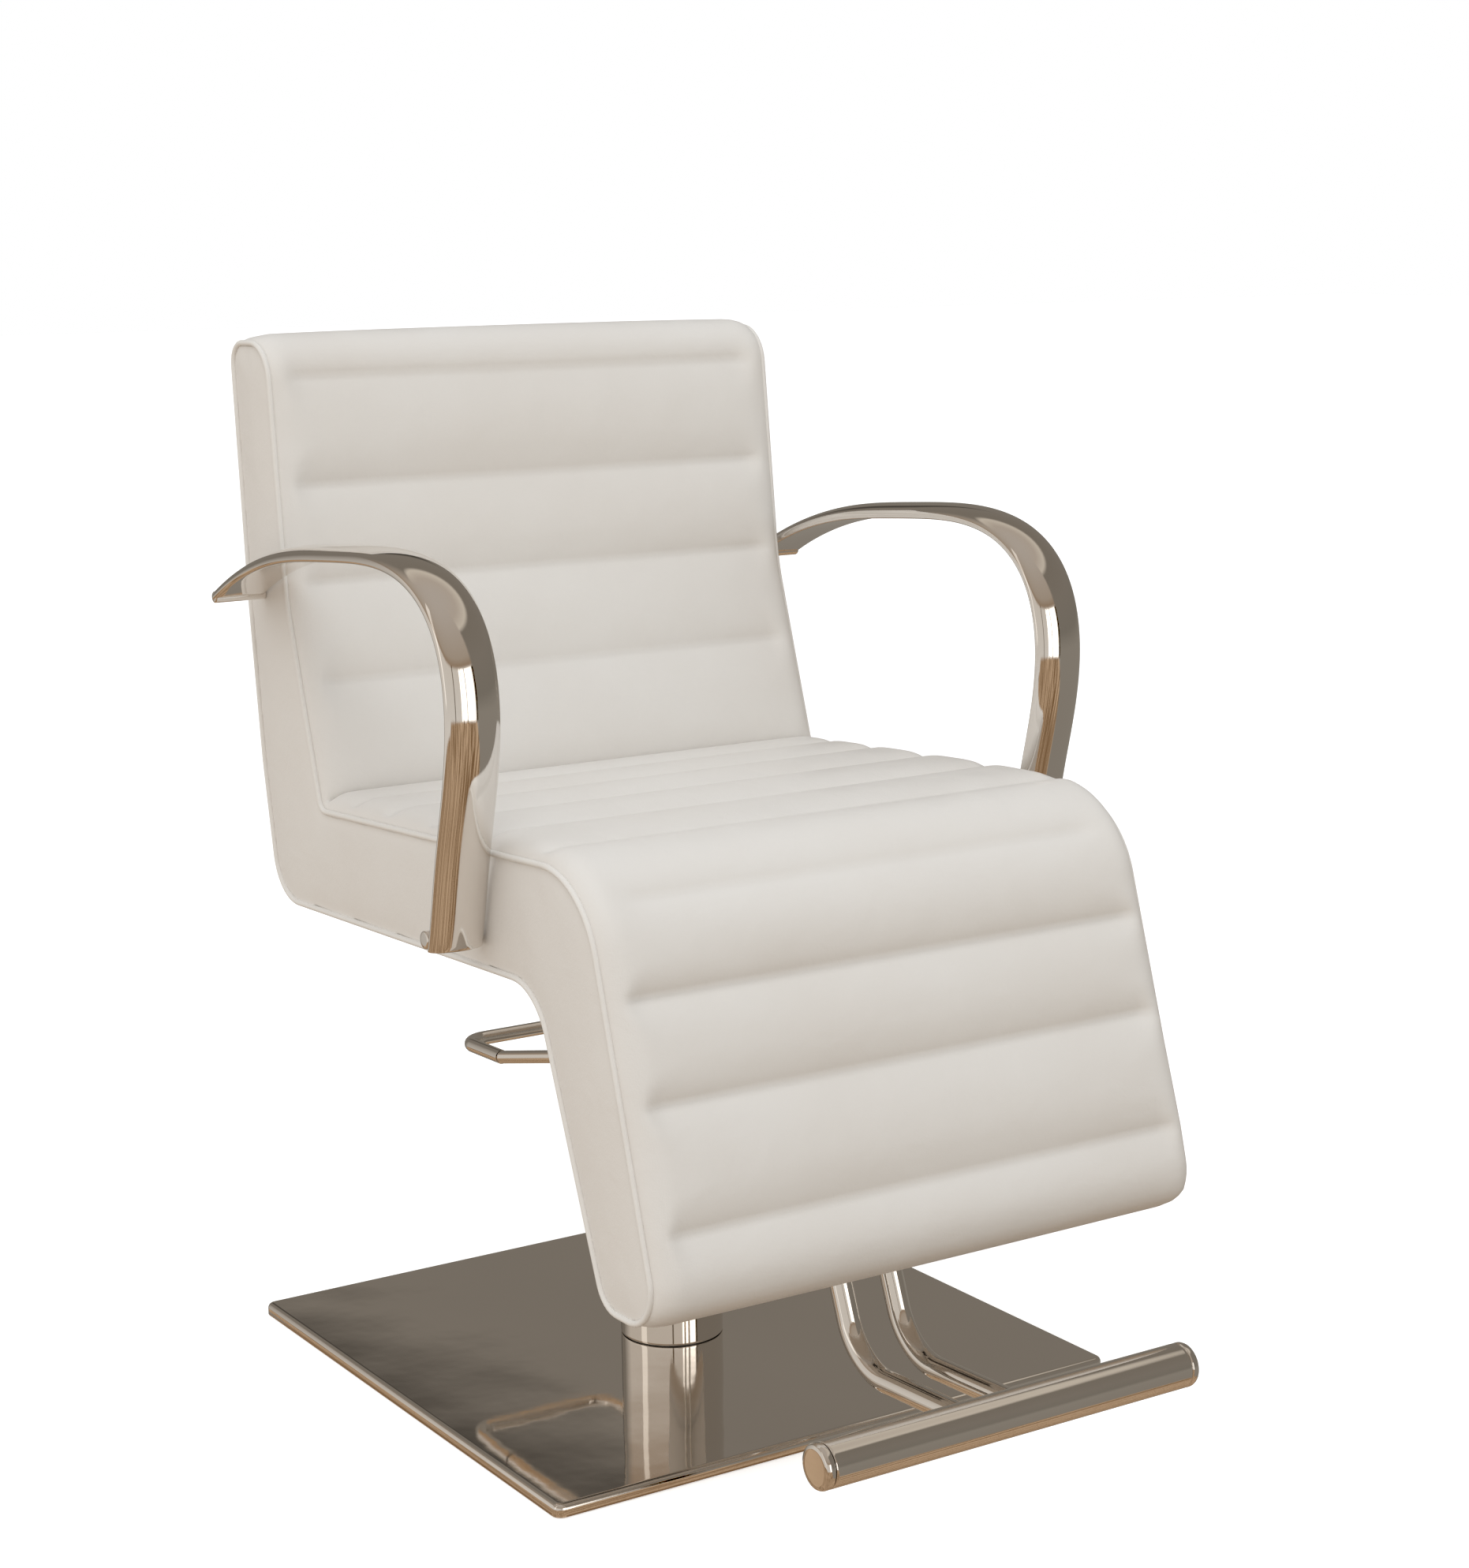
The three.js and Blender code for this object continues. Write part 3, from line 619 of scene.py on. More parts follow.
def even_mesh(mesh, voxel):
    """The same closed shape as an even grid of quads."""
    held = placed("remesh_run", mesh)
    remesh = held.modifiers.new("remesh", "REMESH")
    remesh.mode = "VOXEL"
    remesh.voxel_size = voxel
    return plain_mesh(held)


SIDE_THICKNESS, SIDE_GRID = 6 * MM, 3 * MM
# Half the chair's width at the side's rim, how far the padding rises over it, the width of the flat rim, and
# how soon the padding rises from it.
SIDE_FACE, SIDE_PUFF, SIDE_RIM, SIDE_ROLL = 281.5 * MM, 3.2 * MM, 3 * MM, 16 * MM
side_base = even_mesh(filled_profile(SIDE_THICKNESS), SIDE_GRID)


def rim_distance(places):
    """How far each y, z place is from the profile's rim."""
    found = np.full(len(places), 9.0)
    for point in outline:
        found = np.minimum(found, np.hypot(places[:, 0] - point[0], places[:, 1] - point[1]))
    return found


def side_cover(side, label):
    mesh = side_base.copy()
    depth, y, z = points_of(mesh).T
    rim = rim_distance(np.column_stack([y, z]))
    puff = SIDE_PUFF * (1 - np.exp(-np.maximum(rim - SIDE_RIM, 0) / SIDE_ROLL))
    outer = np.clip(depth / SIDE_THICKNESS, 0, 1)
    x = SIDE_FACE - SIDE_THICKNESS + depth + puff * outer
    mesh.vertices.foreach_set("co", np.column_stack([side * x, y, z]).ravel())
    if side < 0:
        mesh.flip_normals()
    made = finish_piece("side_cover_" + label, mesh, "seat", cover_finish,
                        ["side_panel_" + label])
    return made


SIDES = ((-1, "right"), (1, "left"))
for side, label in SIDES:
    print(side_cover(side, label).name, len(side_base.vertices), "points")

# %% [markdown]
# ## Welts
# A welt is a cord wrapped in a strip of the cover and sewn into the seam, here round both sides of the body.
# A curve with a round bevel is the quick way to run a tube along a path; it is then turned into a mesh.

# %% Tube helper and welts
def tube(points, radius, closed=False, roundness=4):
    """A round tube along points, as a mesh with capped ends."""
    line = bpy.data.curves.new("path", "CURVE")
    line.dimensions = "3D"
    line.bevel_depth = radius
    line.bevel_resolution = roundness
    line.use_fill_caps = not closed
    run = line.splines.new("POLY")
    run.points.add(len(points) - 1)
    run.points.foreach_set("co", [c for p in points for c in (*p, 1)])
    run.use_cyclic_u = closed
    held = placed("tube_run", line)
    bm = bmesh.new()
    bm.from_mesh(plain_mesh(held))
    bmesh.ops.remove_doubles(bm, verts=bm.verts, dist=1e-6)
    return closed_mesh(bm)


WELT_RADIUS = 2.8 * MM
WELT_LIFT = 0.9 * MM
WELT_ACROSS = 281.6 * MM
for side, label in SIDES:
    run = [(side * WELT_ACROSS, *(p + n * WELT_LIFT)) for p, n in zip(outline, outward)]
    cord = tube(run, WELT_RADIUS, closed=True)
    welt = finish_piece("welt_" + label, cord, "seat", welt_finish)
    print(welt.name, len(welt.data.polygons), "faces")

# %% [markdown]
# ## Arms
# Each arm is a steel band, crowned outside and flat inside, bent in one sweep and polished before plating.
# Chrome shows every wobble of a path, so the path's points are first faired: a smooth polynomial is fitted
# through them. The section is then extruded along it step by step. The foot is cut level, and the rear tip is
# cut level below and upright behind.

# %% Arm path and section
# From the chair's middle to the band's inner edge, and the band's width.
ARM_INNER, ARM_WIDTH = 286.5 * MM, 52 * MM
# Where the bands run, as y, z in millimetres, from the rear tip to the foot.
ARM_POINTS = [
    (281, 734), (229, 758), (179, 775), (128, 786), (75, 793), (23, 798), (-29, 801), (-82, 800),
    (-133, 791), (-180, 768), (-207, 724), (-208, 671), (-202, 619), (-191, 568), (-177, 518), (-168, 474),
]
ARM_STEPS = 150
ARM_DEGREE = 9
ARM_OVERRUN = 14 * MM
# The cuts: y of the rear tip's back, z of its underside, and z of the foot.
ARM_BACK, ARM_REAR_CUT, ARM_FRONT_CUT = 271 * MM, 735 * MM, 474 * MM
# The section, in millimetres: how far the crown stands out, the edges' radius, where their middles lie, and
# how far the flat is hollowed.
CROWN, EDGE_RADIUS, EDGE_LEVEL, HOLLOW = 12.2, 3, 2, 0.3


def faired(points, degree, steps, overrun):
    """A smooth path close to the points, in even steps, run on a little past both ends."""
    points = np.array(points) * MM
    along = length_along(points)
    fits = [np.polynomial.Chebyshev.fit(along, points[:, k], degree) for k in (0, 1)]
    fine = np.column_stack([fit(np.linspace(0, along[-1], 800)) for fit in fits])
    first, last = fine[0] - fine[1], fine[-1] - fine[-2]
    fine = np.vstack([fine[0] + first / np.linalg.norm(first) * overrun, fine,
                      fine[-1] + last / np.linalg.norm(last) * overrun])
    run = length_along(fine)
    wanted = np.linspace(0, run[-1], steps + 1)
    return np.column_stack([np.interp(wanted, run, fine[:, k]) for k in (0, 1)])


def arm_section():
    """Round the band: the crown outside, thin rounded edges, and the flat inside, in metres."""
    half = ARM_WIDTH / MM / 2
    middle = half - EDGE_RADIUS
    crown = [(-half * math.cos(a), EDGE_LEVEL - CROWN * math.sin(a))
             for a in np.linspace(0, math.pi, 25)[1:-1]]
    edge = [(middle + EDGE_RADIUS * math.cos(a), EDGE_LEVEL + EDGE_RADIUS * math.sin(a))
            for a in np.radians([0, 22, 45, 68, 90])]
    flat = [(u, EDGE_LEVEL + EDGE_RADIUS - HOLLOW * math.cos(u / (middle - 2) * math.pi / 2))
            for u in np.linspace(middle - 4, 4 - middle, 7)]
    section = crown + edge + flat + [(-u, v) for u, v in reversed(edge)]
    return [(u * MM, v * MM) for u, v in section]


arm_path = faired(ARM_POINTS, ARM_DEGREE, ARM_STEPS, ARM_OVERRUN)
print("arm path of", len(arm_path), "points, section of", len(arm_section()))


# %% Arm bands
def bevel(bm, edges, offset, segments):
    bmesh.ops.bevel(bm, geom=edges, offset=offset, offset_type="OFFSET", affect="EDGES", segments=segments,
                    profile=0.5, material=-1)


def path_frames(path, x):
    """At each point of a path in the side view, the axes across, inward and along."""
    tangents = np.gradient(path, axis=0)
    tangents /= np.linalg.norm(tangents, axis=1)[:, None]
    frames = []
    for (y, z), (ty, tz) in zip(path, tangents):
        axes = Matrix(((1, 0, 0), (0, -tz, ty), (0, ty, tz))).transposed().to_4x4()
        frames.append(Matrix.Translation((x, y, z)) @ axes)
    return frames


def swept_band(section, frames):
    """Extrudes a closed section from frame to frame."""
    bm = bmesh.new()
    ring = [bm.verts.new(frames[0] @ Vector((u, v, 0))) for u, v in section]
    edges = [bm.edges.new((ring[i - 1], ring[i])) for i in range(len(ring))]
    for before, after in zip(frames, frames[1:]):
        grown = bmesh.ops.extrude_edge_only(bm, edges=edges)["geom"]
        verts = {g for g in grown if isinstance(g, bmesh.types.BMVert)}
        edges = [g for g in grown if isinstance(g, bmesh.types.BMEdge) and set(g.verts) <= verts]
        bmesh.ops.transform(bm, matrix=after @ before.inverted(), verts=list(verts))
    return bm


def cut_end(bm, place, inward, faces):
    """Cuts faces with a plane, keeps the side that inward points to, and caps the cut with an eased rim."""
    geom = list(faces) + list({e for f in faces for e in f.edges}) + list({v for f in faces for v in f.verts})
    place, inward = Vector(place), Vector(inward)
    bmesh.ops.bisect_plane(bm, geom=geom, plane_co=place, plane_no=inward, clear_inner=True)
    rim = [e for e in bm.edges
           if e.is_boundary and all(abs((v.co - place).dot(inward)) < 1e-5 for v in e.verts)]
    bmesh.ops.holes_fill(bm, edges=rim, sides=0)
    bevel(bm, rim, 0.7 * MM, 2)


def arm_band(side):
    bm = swept_band(arm_section(), path_frames(arm_path, side * (ARM_INNER + ARM_WIDTH / 2)))
    up, forward = (0, 0, 1), (0, -1, 0)
    cut_end(bm, (0, ARM_BACK, 0), forward, [f for f in bm.faces if f.calc_center_median().y > 200 * MM])
    cut_end(bm, (0, 0, ARM_REAR_CUT), up, [f for f in bm.faces if f.calc_center_median().y > 200 * MM])
    cut_end(bm, (0, 0, ARM_FRONT_CUT), up, [f for f in bm.faces if f.calc_center_median().z < 550 * MM])
    return closed_mesh(bm)


def chrome_piece(name, mesh, body, node_name, crisp=50, finish=chrome_finish):
    """A plated piece that stands for one solid."""
    return finish_piece(name, mesh, body, finish, [node_name], crisp=crisp)


for side, label in SIDES:
    band = chrome_piece("arm_band_" + label, arm_band(side), "seat", "arm_" + label, crisp=40)
    print(band.name, len(band.data.polygons), "faces")

# %% [markdown]
# ## Turned pieces
# The arms' studs, the column, its collar, the rod and the footrest bar are made on a lathe, and so they are
# here: half a profile, with its edges already eased, is spun round an axis. A long plain run would bend the
# smooth shading from end to end, so it gets an extra ring close to each end.

# %% Lathe helper
def eased(corners, radius, steps=3):
    """A profile of (distance from the axis, place along it) in millimetres, each inner corner rounded."""
    points = [Vector(corners[0])]
    for before, corner, after in zip(corners, corners[1:], corners[2:]):
        corner, before, after = Vector(corner), Vector(before), Vector(after)
        reach = min(radius, (before - corner).length / 2.2, (after - corner).length / 2.2)
        start = corner + (before - corner).normalized() * reach
        stop = corner + (after - corner).normalized() * reach
        for k in range(steps + 1):
            t = k / steps
            points.append(start.lerp(corner, t).lerp(corner.lerp(stop, t), t))
    return points + [Vector(corners[-1])]


# How far from the ends of a long run its extra rings are, in millimetres.
HOLD = 1.5


def with_extra_rings(profile):
    """The profile with a point near each end of every long run."""
    points = [Vector(profile[0])]
    for before, after in zip(profile, profile[1:]):
        run = Vector(after) - Vector(before)
        if run.length > HOLD * 4:
            points += [Vector(before) + run.normalized() * HOLD, Vector(after) - run.normalized() * HOLD]
        points.append(Vector(after))
    return points


def turned(profile, centre=(0, 0, 0), axis="Z", sides=96):
    """Spins a profile round an axis through centre. X pieces run along X from the profile's zero."""
    bm = bmesh.new()
    line = [bm.verts.new((r * MM, 0, h * MM)) for r, h in with_extra_rings(profile)]
    edges = [bm.edges.new(pair) for pair in zip(line, line[1:])]
    bmesh.ops.spin(bm, geom=line + edges, cent=(0, 0, 0), axis=(0, 0, 1), dvec=(0, 0, 0),
                   angle=2 * math.pi, steps=sides, use_merge=True, use_duplicate=False)
    bmesh.ops.remove_doubles(bm, verts=bm.verts, dist=1e-6)
    bmesh.ops.recalc_face_normals(bm, faces=bm.faces)
    if axis == "X":
        bmesh.ops.rotate(bm, verts=bm.verts, cent=(0, 0, 0), matrix=Matrix.Rotation(math.pi / 2, 3, "Y"))
    bmesh.ops.translate(bm, verts=bm.verts, vec=Vector(centre) * MM)
    return mesh_from(bm)


def solid_round(radius, low, high, ease):
    """Half the profile of a plain cylinder."""
    return eased([(0, low), (radius, low), (radius, high), (0, high)], ease)


def ring_round(bore, radius, low, high, ease):
    """Half the profile of a tube."""
    return eased([(bore, low), (radius, low), (radius, high), (bore, high), (bore, low)], ease)


# %% Studs at the ends of the arms
# Each stud's y, z and radius, and how far from the chair's middle it starts and stops.
STUDS = {"rear": (269, 738, 5.6), "front": (-156.5, 483, 8)}
STUD_START, STUD_STOP = 284.4, 337.5
for side, label in SIDES:
    low, high = sorted((side * STUD_START, side * STUD_STOP))
    for end, (y, z, radius) in STUDS.items():
        stud = turned(solid_round(radius, low, high, 1.6), (0, y, z), "X", 40)
        chrome_piece(f"arm_stud_{label}_{end}", stud, "seat", f"arm_boss_{label}_{end}")
print("four studs")

# %% Column, collar and rod
COLUMN_RADIUS, COLUMN_FOOT, COLUMN_TOP = 50, 13.3, 300
column = turned(ring_round(46, COLUMN_RADIUS, COLUMN_FOOT, COLUMN_TOP, 0.8), sides=128)
chrome_piece("column_tube", column, "pump", "column_sleeve")
collar = turned(ring_round(30.4, COLUMN_RADIUS, COLUMN_TOP + 0.4, COLUMN_TOP + 12, 1.6), sides=128)
chrome_piece("pump_collar", collar, "pump", "pump_head")
chrome_piece("lift_rod", turned(solid_round(22.25, 126, 434.2, 1.0)), "seat", "piston_rod")
print("column pieces turned")

# %% [markdown]
# ## Base plate
# The base is a thin pressed cover over a heavy core. Its edge is rolled, which shows as one bright line all
# round. A cube is beveled twice: first its upright corners, then its top rim. The column's opening is
# bridged into the top, and a modifier gives the skin its thickness.

# %% Base plate
PLATE_SIZE, PLATE_TOP, PLATE_FOOT = 600 * MM, 12.5 * MM, 1.2 * MM
PLATE_CORNER, PLATE_RIM, PLATE_WALL = 9 * MM, 5 * MM, 2.6 * MM
# The opening for the column, and the flat lip round it, which keeps the top's shading level.
OPENING, LIP = 46 * MM, 2 * MM


def top_edges(bm):
    return [e for e in bm.edges if all(v.co.z > PLATE_TOP - 0.1 * MM for v in e.verts)]


def base_plate():
    bm = bmesh.new()
    bmesh.ops.create_cube(bm, size=1)
    bmesh.ops.scale(bm, verts=bm.verts, vec=(PLATE_SIZE, PLATE_SIZE, PLATE_TOP - PLATE_FOOT))
    bmesh.ops.translate(bm, verts=bm.verts, vec=(0, 0, (PLATE_TOP + PLATE_FOOT) / 2))
    bevel(bm, [e for e in bm.edges if abs(e.verts[0].co.z - e.verts[1].co.z) > 1 * MM], PLATE_CORNER, 8)
    bevel(bm, top_edges(bm), PLATE_RIM, 6)
    ends = [f for f in bm.faces if abs(f.normal.z) > 0.99 and f.calc_area() > 0.2]
    top = [f for f in ends if f.normal.z > 0]
    bmesh.ops.inset_region(bm, faces=top, thickness=1 * MM, use_even_offset=True)
    bmesh.ops.delete(bm, geom=ends, context="FACES_ONLY")
    edge = [e for e in top_edges(bm) if e.is_boundary]
    level = Matrix.Translation((0, 0, PLATE_TOP))
    bmesh.ops.create_circle(bm, radius=OPENING + LIP, segments=64, matrix=level)
    opening = [e for e in bm.edges if not e.link_faces]
    bmesh.ops.bridge_loops(bm, edges=edge + opening)
    lip = bmesh.ops.extrude_edge_only(bm, edges=opening)["geom"]
    inner = [g for g in lip if isinstance(g, bmesh.types.BMVert)]
    narrower = OPENING / (OPENING + LIP)
    bmesh.ops.scale(bm, verts=inner, vec=(narrower, narrower, 1))
    return closed_mesh(bm)


plate = chrome_piece("base_plate_skin", base_plate(), "base", "base_cover", crisp=35, finish=plate_finish)
add_thickness(plate, PLATE_WALL)
print("base plate", len(plate.data.polygons), "faces")

# %% [markdown]
# ## Footrest
# Two bent tubes hang from the seat and carry a round bar. The tubes are mandrel bends, so each corner of the
# path is a true arc. The bar's turned end caps leave a fine seam.

# %% Open path helper
def rounded_run(corners, step=2.5):
    """Points along an open run of (a, b, radius) corners in millimetres, each inner corner an arc."""
    places = [Vector(corner[:2]) for corner in corners]
    points = places[:1]
    for i, (*_, radius) in enumerate(corners[1:-1], 1):
        points += corner_arc(places[i - 1], places[i], places[i + 1], radius, step, 6)
    return points + places[-1:]


TUBE_RUN = rounded_run([(-227, 435.8, 0), (-358, 93, 60), (-514, 100, 0)])
print("footrest tubes follow", len(TUBE_RUN), "points")

# %% Footrest tubes, bar and caps
TUBE_ACROSS, TUBE_RADIUS = 27 * MM, 10.5 * MM
for side, label in SIDES:
    run = [(side * TUBE_ACROSS, y * MM, z * MM) for y, z in TUBE_RUN]
    pipe = tube(run, TUBE_RADIUS, roundness=10)
    chrome_piece("footrest_pipe_" + label, pipe, "seat", "footrest_tube_" + label)

BAR_HALF, BAR_RADIUS, BAR_PLACE, BAR_SIDES = 186, 19.5, (0, -534, 105), 80
bar = turned(solid_round(BAR_RADIUS, -BAR_HALF, BAR_HALF, 0.7), BAR_PLACE, "X", BAR_SIDES)
chrome_piece("footrest_roller", bar, "seat", "footrest_bar")

# The cap's profile: how far inside the bar's radius each point is, and how far past the bar's end.
CAP = [(BAR_RADIUS, 0.5), (0.9, 0.5), (0, 1.4), (0, 5.6), (1.1, 8.1), (4, 9), (BAR_RADIUS, 9)]
for side, label in SIDES:
    profile = eased([(BAR_RADIUS - inside, side * (BAR_HALF + past)) for inside, past in CAP], 0.8)
    cap = turned(profile, BAR_PLACE, "X", BAR_SIDES)
    chrome_piece("footrest_cap_" + label, cap, "seat", "bar_cap_" + label)
print("footrest done")

# %% [markdown]
# ## Pump pedal
# The pedal is a loop of tube behind the column. Two thinner arms slide into its ends, which leaves a step on
# each side where the tubes meet.

# %% Pedal arms and loop
# Places as y, z: the pivot, the ferrule where an arm enters the loop, and the loop's tip.
PEDAL_PIVOT, PEDAL_FERRULE, PEDAL_TIP = (70, 272), (265, 234), (355, 230)
# Where each arm stands across the chair, at the pivot and at the ferrule.
PEDAL_ENDS = {"right": (8, -40), "left": (52, 128)}
PEDAL_ARM_START = 99.5
PEDAL_ARM_RADIUS, PEDAL_LOOP_RADIUS = 6.8 * MM, 7.4 * MM


def pedal_arm(label):
    near, far = PEDAL_ENDS[label]
    pivot, ferrule = Vector((near, *PEDAL_PIVOT)), Vector((far, *PEDAL_FERRULE))
    share = (PEDAL_ARM_START - pivot.y) / (ferrule.y - pivot.y)
    stop = ferrule - Vector((0, 0.2, 0))
    return tube([pivot.lerp(ferrule, share) * MM, stop * MM], PEDAL_ARM_RADIUS, roundness=8)


def pedal_loop():
    right, left = PEDAL_ENDS["right"][1], PEDAL_ENDS["left"][1]
    (near, height), (tip, tip_height) = PEDAL_FERRULE, PEDAL_TIP
    flat = rounded_run([(right, near, 0), (right + 2, tip, 26), (left - 2, tip, 26), (left, near, 0)], 1.5)
    slope = (tip_height - height) / (tip - near)
    run = [Vector((x, y, height + slope * (y - near))) * MM for x, y in flat]
    return tube(run, PEDAL_LOOP_RADIUS, roundness=8)


for label in PEDAL_ENDS:
    chrome_piece("foot_pedal_arm_" + label, pedal_arm(label), "pedal", "pedal_arm_" + label)
chrome_piece("foot_pedal_loop", pedal_loop(), "pedal", "pedal_loop")
print("pedal done")

# %% Return spring, which shortens as the pedal goes down
SPRING_X, SPRING_Y, SPRING_LOW, SPRING_LENGTH = 30, 88, 239.5, 18
COIL_RADIUS, WIRE_RADIUS, SPRING_TURNS = 7, 0.9, 5
rise = (SPRING_LENGTH - 2 * WIRE_RADIUS) / (2 * math.pi * SPRING_TURNS)
coil = [Vector((SPRING_X + COIL_RADIUS * math.cos(a), SPRING_Y + COIL_RADIUS * math.sin(a),
                SPRING_LOW + WIRE_RADIUS + rise * a)) * MM
        for a in np.linspace(0, 2 * math.pi * SPRING_TURNS, SPRING_TURNS * 24)]
wire = tube(coil, WIRE_RADIUS * MM, roundness=2)
spring = finish_piece("coil_spring", wire, "pump", steel_finish, ["return_spring"])
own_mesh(spring)
print("spring", len(spring.data.polygons), "faces")

# %% [markdown]
# ## Floor, surroundings and light
# A plain pale floor takes a faint shadow. Chrome only shows what stands round it, so the room that mirrors
# see is drawn in the world, by the direction of each ray: its bearing round the chair from +X, and the sine
# of its height. Lit surfaces see a plain soft dome instead, and the camera sees white.

# %% Floor
bm = bmesh.new()
bmesh.ops.create_grid(bm, x_segments=1, y_segments=1, size=30)
floor = placed("floor", mesh_from(bm))
floor_finish, tree, shader, place = new_finish("pale_floor", Roughness=0.9, Specular_IOR_Level=0.1)
paint(tree, shader, two_tone(tree, noise_field(tree, place, 2.0), (0.93, 0.93, 0.93), (0.95, 0.95, 0.95)))
shader.inputs["Emission Color"].default_value = (1, 1, 1, 1)
shader.inputs["Emission Strength"].default_value = 0.55
floor.data.materials.append(floor_finish)
floor.visible_glossy = False
floor.visible_diffuse = False
print("floor", floor.name)

# %% The room's colours, windows and soft light
# Colours from straight down to straight up, as the sine of the height and a colour. The left wall is lit, and
# the right one is in shade.
LEFT_WALL = [
    (-1.0, (0.40, 0.33, 0.26)), (-0.41, (0.33, 0.25, 0.18)), (-0.345, (0.74, 0.70, 0.65)),
    (-0.1, (0.66, 0.62, 0.57)), (0.365, (0.64, 0.59, 0.53)), (0.41, (0.30, 0.215, 0.145)),
    (0.5, (0.38, 0.315, 0.25)), (1.0, (0.46, 0.41, 0.36)),
]
RIGHT_WALL = [
    (-1.0, (0.24, 0.215, 0.185)), (-0.1, (0.265, 0.24, 0.205)), (0.05, (0.20, 0.18, 0.152)),
    (0.4, (0.212, 0.187, 0.158)), (0.755, (0.20, 0.175, 0.145)), (0.80, (0.60, 0.54, 0.46)),
    (0.9, (0.46, 0.40, 0.34)), (1.0, (0.46, 0.41, 0.36)),
]
DOORWAY_BLACK = (0.01, 0.008, 0.006, 1)
WOOD_DARK, WOOD_LIGHT = (0.20, 0.115, 0.055), (0.56, 0.40, 0.26)
# Windows, and their frames with a strength below 0, as bearings from and to in degrees, sines of the height
# from and to, strength, and softness.
WINDOWS = [
    (-98, -68, -0.16, 0.373, 1.5, 0.008), (-66.5, -64, -0.17, 0.375, -0.5, 0.008),
    (-85, -83.5, -0.17, 0.373, -2, 0.004), (-94, -93, -0.17, 0.373, -2, 0.004),
    (-121, -118, -0.17, 0.4, -0.5, 0.008), (165, 179, -0.1, 0.8, 0.4, 0.01),
]
WINDOW_GLOW = (1.0, 0.97, 0.92)
# The soft dome is warm below and cool above, and brighter on the sitter's right by DOME_SIDE.
DOME = [
    (-1.0, (0.22, 0.14, 0.075)), (-0.3, (0.43, 0.36, 0.28)), (0.0, (0.56, 0.545, 0.52)),
    (1.0, (0.72, 0.73, 0.745)),
]
DOME_SIDE, DOME_WASH = 0.42, (1.0, 0.965, 0.93)
print("room with", len(WINDOWS), "windows and frames")


# %% Parts of the room
def height_colours(tree, height, steps):
    """The colour of a wall or dome at a ray's height."""
    wall = node(tree, "ValToRGB", {"Fac": between(tree, height, 0.0, 1.0, -1.0, 1.0)})
    while len(wall.color_ramp.elements) < len(steps):
        wall.color_ramp.elements.new(0.5)
    for element, (spot, colour) in zip(wall.color_ramp.elements, steps):
        element.position = (spot + 1) / 2
        element.color = (*colour, 1)
    return wall.outputs[0]


def over_bearing(tree, bearing, low, high, start, stop):
    """Low before one bearing and high after another, in degrees."""
    return between(tree, bearing, low, high, math.radians(start), math.radians(stop))


def band_of(tree, value, low, high, soft):
    """1 between two values and 0 outside them, with soft edges."""
    rise = between(tree, value, 0.0, 1.0, low - soft, low + soft)
    fall = between(tree, value, 1.0, 0.0, high - soft, high + soft)
    return times(tree, rise, fall)


def mixed(tree, factor, first, second):
    return node(tree, "MixRGB", {"Fac": factor, "Color1": first, "Color2": second}).outputs[0]


def plus_light(tree, colour, light, strength):
    """The colour with a light of this strength added."""
    glow = node(tree, "VectorMath", {0: light, "Scale": strength}, operation="SCALE").outputs[0]
    return node(tree, "VectorMath", {0: colour, 1: glow}, operation="ADD").outputs[0]


def walls(tree, bearing, height):
    """The lit and the shaded wall, with a dark doorway whose head slopes away with distance."""
    in_front = over_bearing(tree, bearing, 0.0, 1.0, -67, -63)
    behind = over_bearing(tree, bearing, 1.0, 0.0, 100, 130)
    left, right = height_colours(tree, height, LEFT_WALL), height_colours(tree, height, RIGHT_WALL)
    tone = mixed(tree, times(tree, in_front, behind), left, right)
    head = between(tree, math_node(tree, "ADD", height, times(tree, bearing, 0.435)), 0.0, 0.7, 0.832, 0.868)
    doorway = times(tree, head, band_of(tree, bearing, 0.8, 1.35, 0.1))
    doorway = times(tree, doorway, between(tree, height, 1.0, 0.0, 0.44, 0.48))
    return mixed(tree, doorway, tone, DOORWAY_BLACK)


def with_wood_floor(tree, bearing, height, tone):
    """Lays planks below a line that stands at another height in front, to the left and to the right."""
    line = over_bearing(tree, bearing, -0.25, -0.17, -152, -146)
    for drop, start, stop in ((-0.45, -66, -50), (0.37, 80, 110)):
        line = math_node(tree, "ADD", line, over_bearing(tree, bearing, 0.0, drop, start, stop))
    spot = node(tree, "CombineXYZ", {0: bearing, 1: height}).outputs[0]
    grain = noise_field(tree, spot, 1.0, 6.0, stretch=(26, 3, 1), distortion=0.5)
    wood = two_tone(tree, between(tree, grain, 0.0, 1.0, 0.38, 0.62), WOOD_DARK, WOOD_LIGHT)
    is_floor = between(tree, math_node(tree, "SUBTRACT", line, height), 0.0, 1.0, -0.006, 0.006)
    return mixed(tree, is_floor, tone, wood)


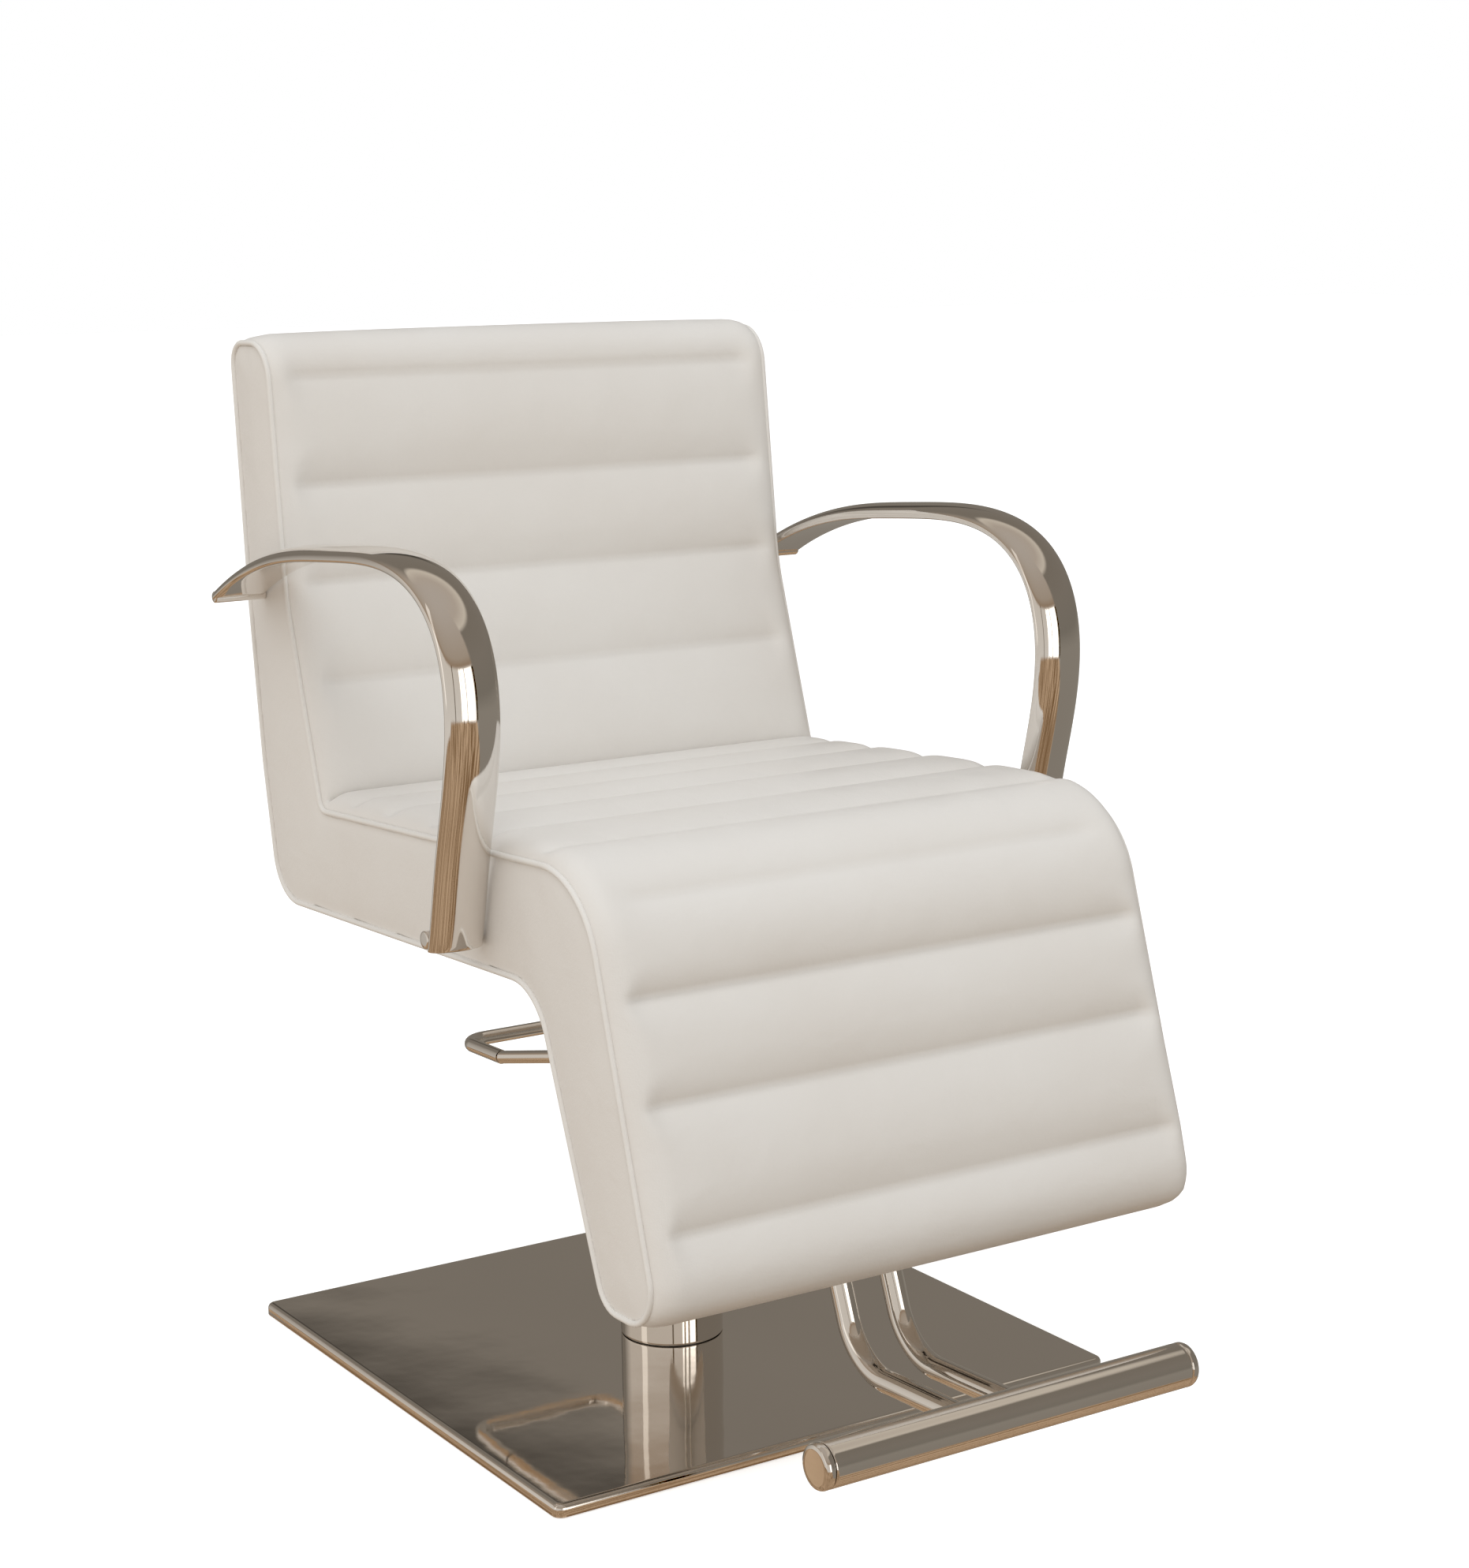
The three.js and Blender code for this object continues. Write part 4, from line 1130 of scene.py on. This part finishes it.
def window_light(tree, bearing, height):
    """The light of all windows together."""
    lit = 0.0
    for start, stop, foot, head, strength, soft in WINDOWS:
        across = band_of(tree, bearing, math.radians(start), math.radians(stop), soft)
        pane = times(tree, times(tree, across, band_of(tree, height, foot, head, soft)), strength)
        lit = math_node(tree, "ADD", pane, lit)
    return lit


print("room parts ready")


# %% Build the room
def room():
    world = bpy.data.worlds.new("studio")
    bpy.context.scene.world = world
    world.use_nodes = True
    tree = world.node_tree
    tree.nodes.clear()
    look = node(tree, "TexCoord").outputs["Generated"]
    x, y, height = node(tree, "SeparateXYZ", {0: look}).outputs
    bearing = math_node(tree, "ARCTAN2", y, x)

    tone = with_wood_floor(tree, bearing, height, walls(tree, bearing, height))
    mirrored = plus_light(tree, tone, WINDOW_GLOW, window_light(tree, bearing, height))
    aside = math_node(tree, "MULTIPLY", x, -DOME_SIDE, clamp=True)
    dome = plus_light(tree, height_colours(tree, height, DOME), DOME_WASH, aside)
    glossy, diffuse, seen = (node(tree, "Background", {"Color": colour, "Strength": 1.0}).outputs[0]
                             for colour in (mirrored, dome, (1, 1, 1, 1)))

    ray = node(tree, "LightPath").outputs
    inner = node(tree, "MixShader", {0: ray["Is Glossy Ray"], 1: diffuse, 2: glossy}).outputs[0]
    outer = node(tree, "MixShader", {0: ray["Is Camera Ray"], 1: inner, 2: seen}).outputs[0]
    node(tree, "OutputWorld", {"Surface": outer})


room()
bpy.context.scene.view_settings.view_transform = "Standard"
print("world is", bpy.context.scene.world.name)


# %% Lamps
def softbox(name, place, aim, size, power, colour):
    """A round lamp whose size is in metres and power in watts. Chrome does not show it."""
    lamp = bpy.data.lights.new(name, "AREA")
    lamp.shape, lamp.size, lamp.energy, lamp.color = "DISK", size, power, colour
    held = placed(name, lamp)
    held.location = place
    held.rotation_euler = (Vector(aim) - Vector(place)).to_track_quat("-Z", "Y").to_euler()
    held.visible_glossy = False


SEAT_MIDDLE = (0, 0, 0.6)
softbox("key", (-0.9, -2.2, 3.6), SEAT_MIDDLE, size=2.6, power=34, colour=(0.96, 0.985, 1.0))
softbox("fill", (2.2, -2.6, 1.6), SEAT_MIDDLE, size=2.0, power=5, colour=(1, 1, 1))
print("lamps set")
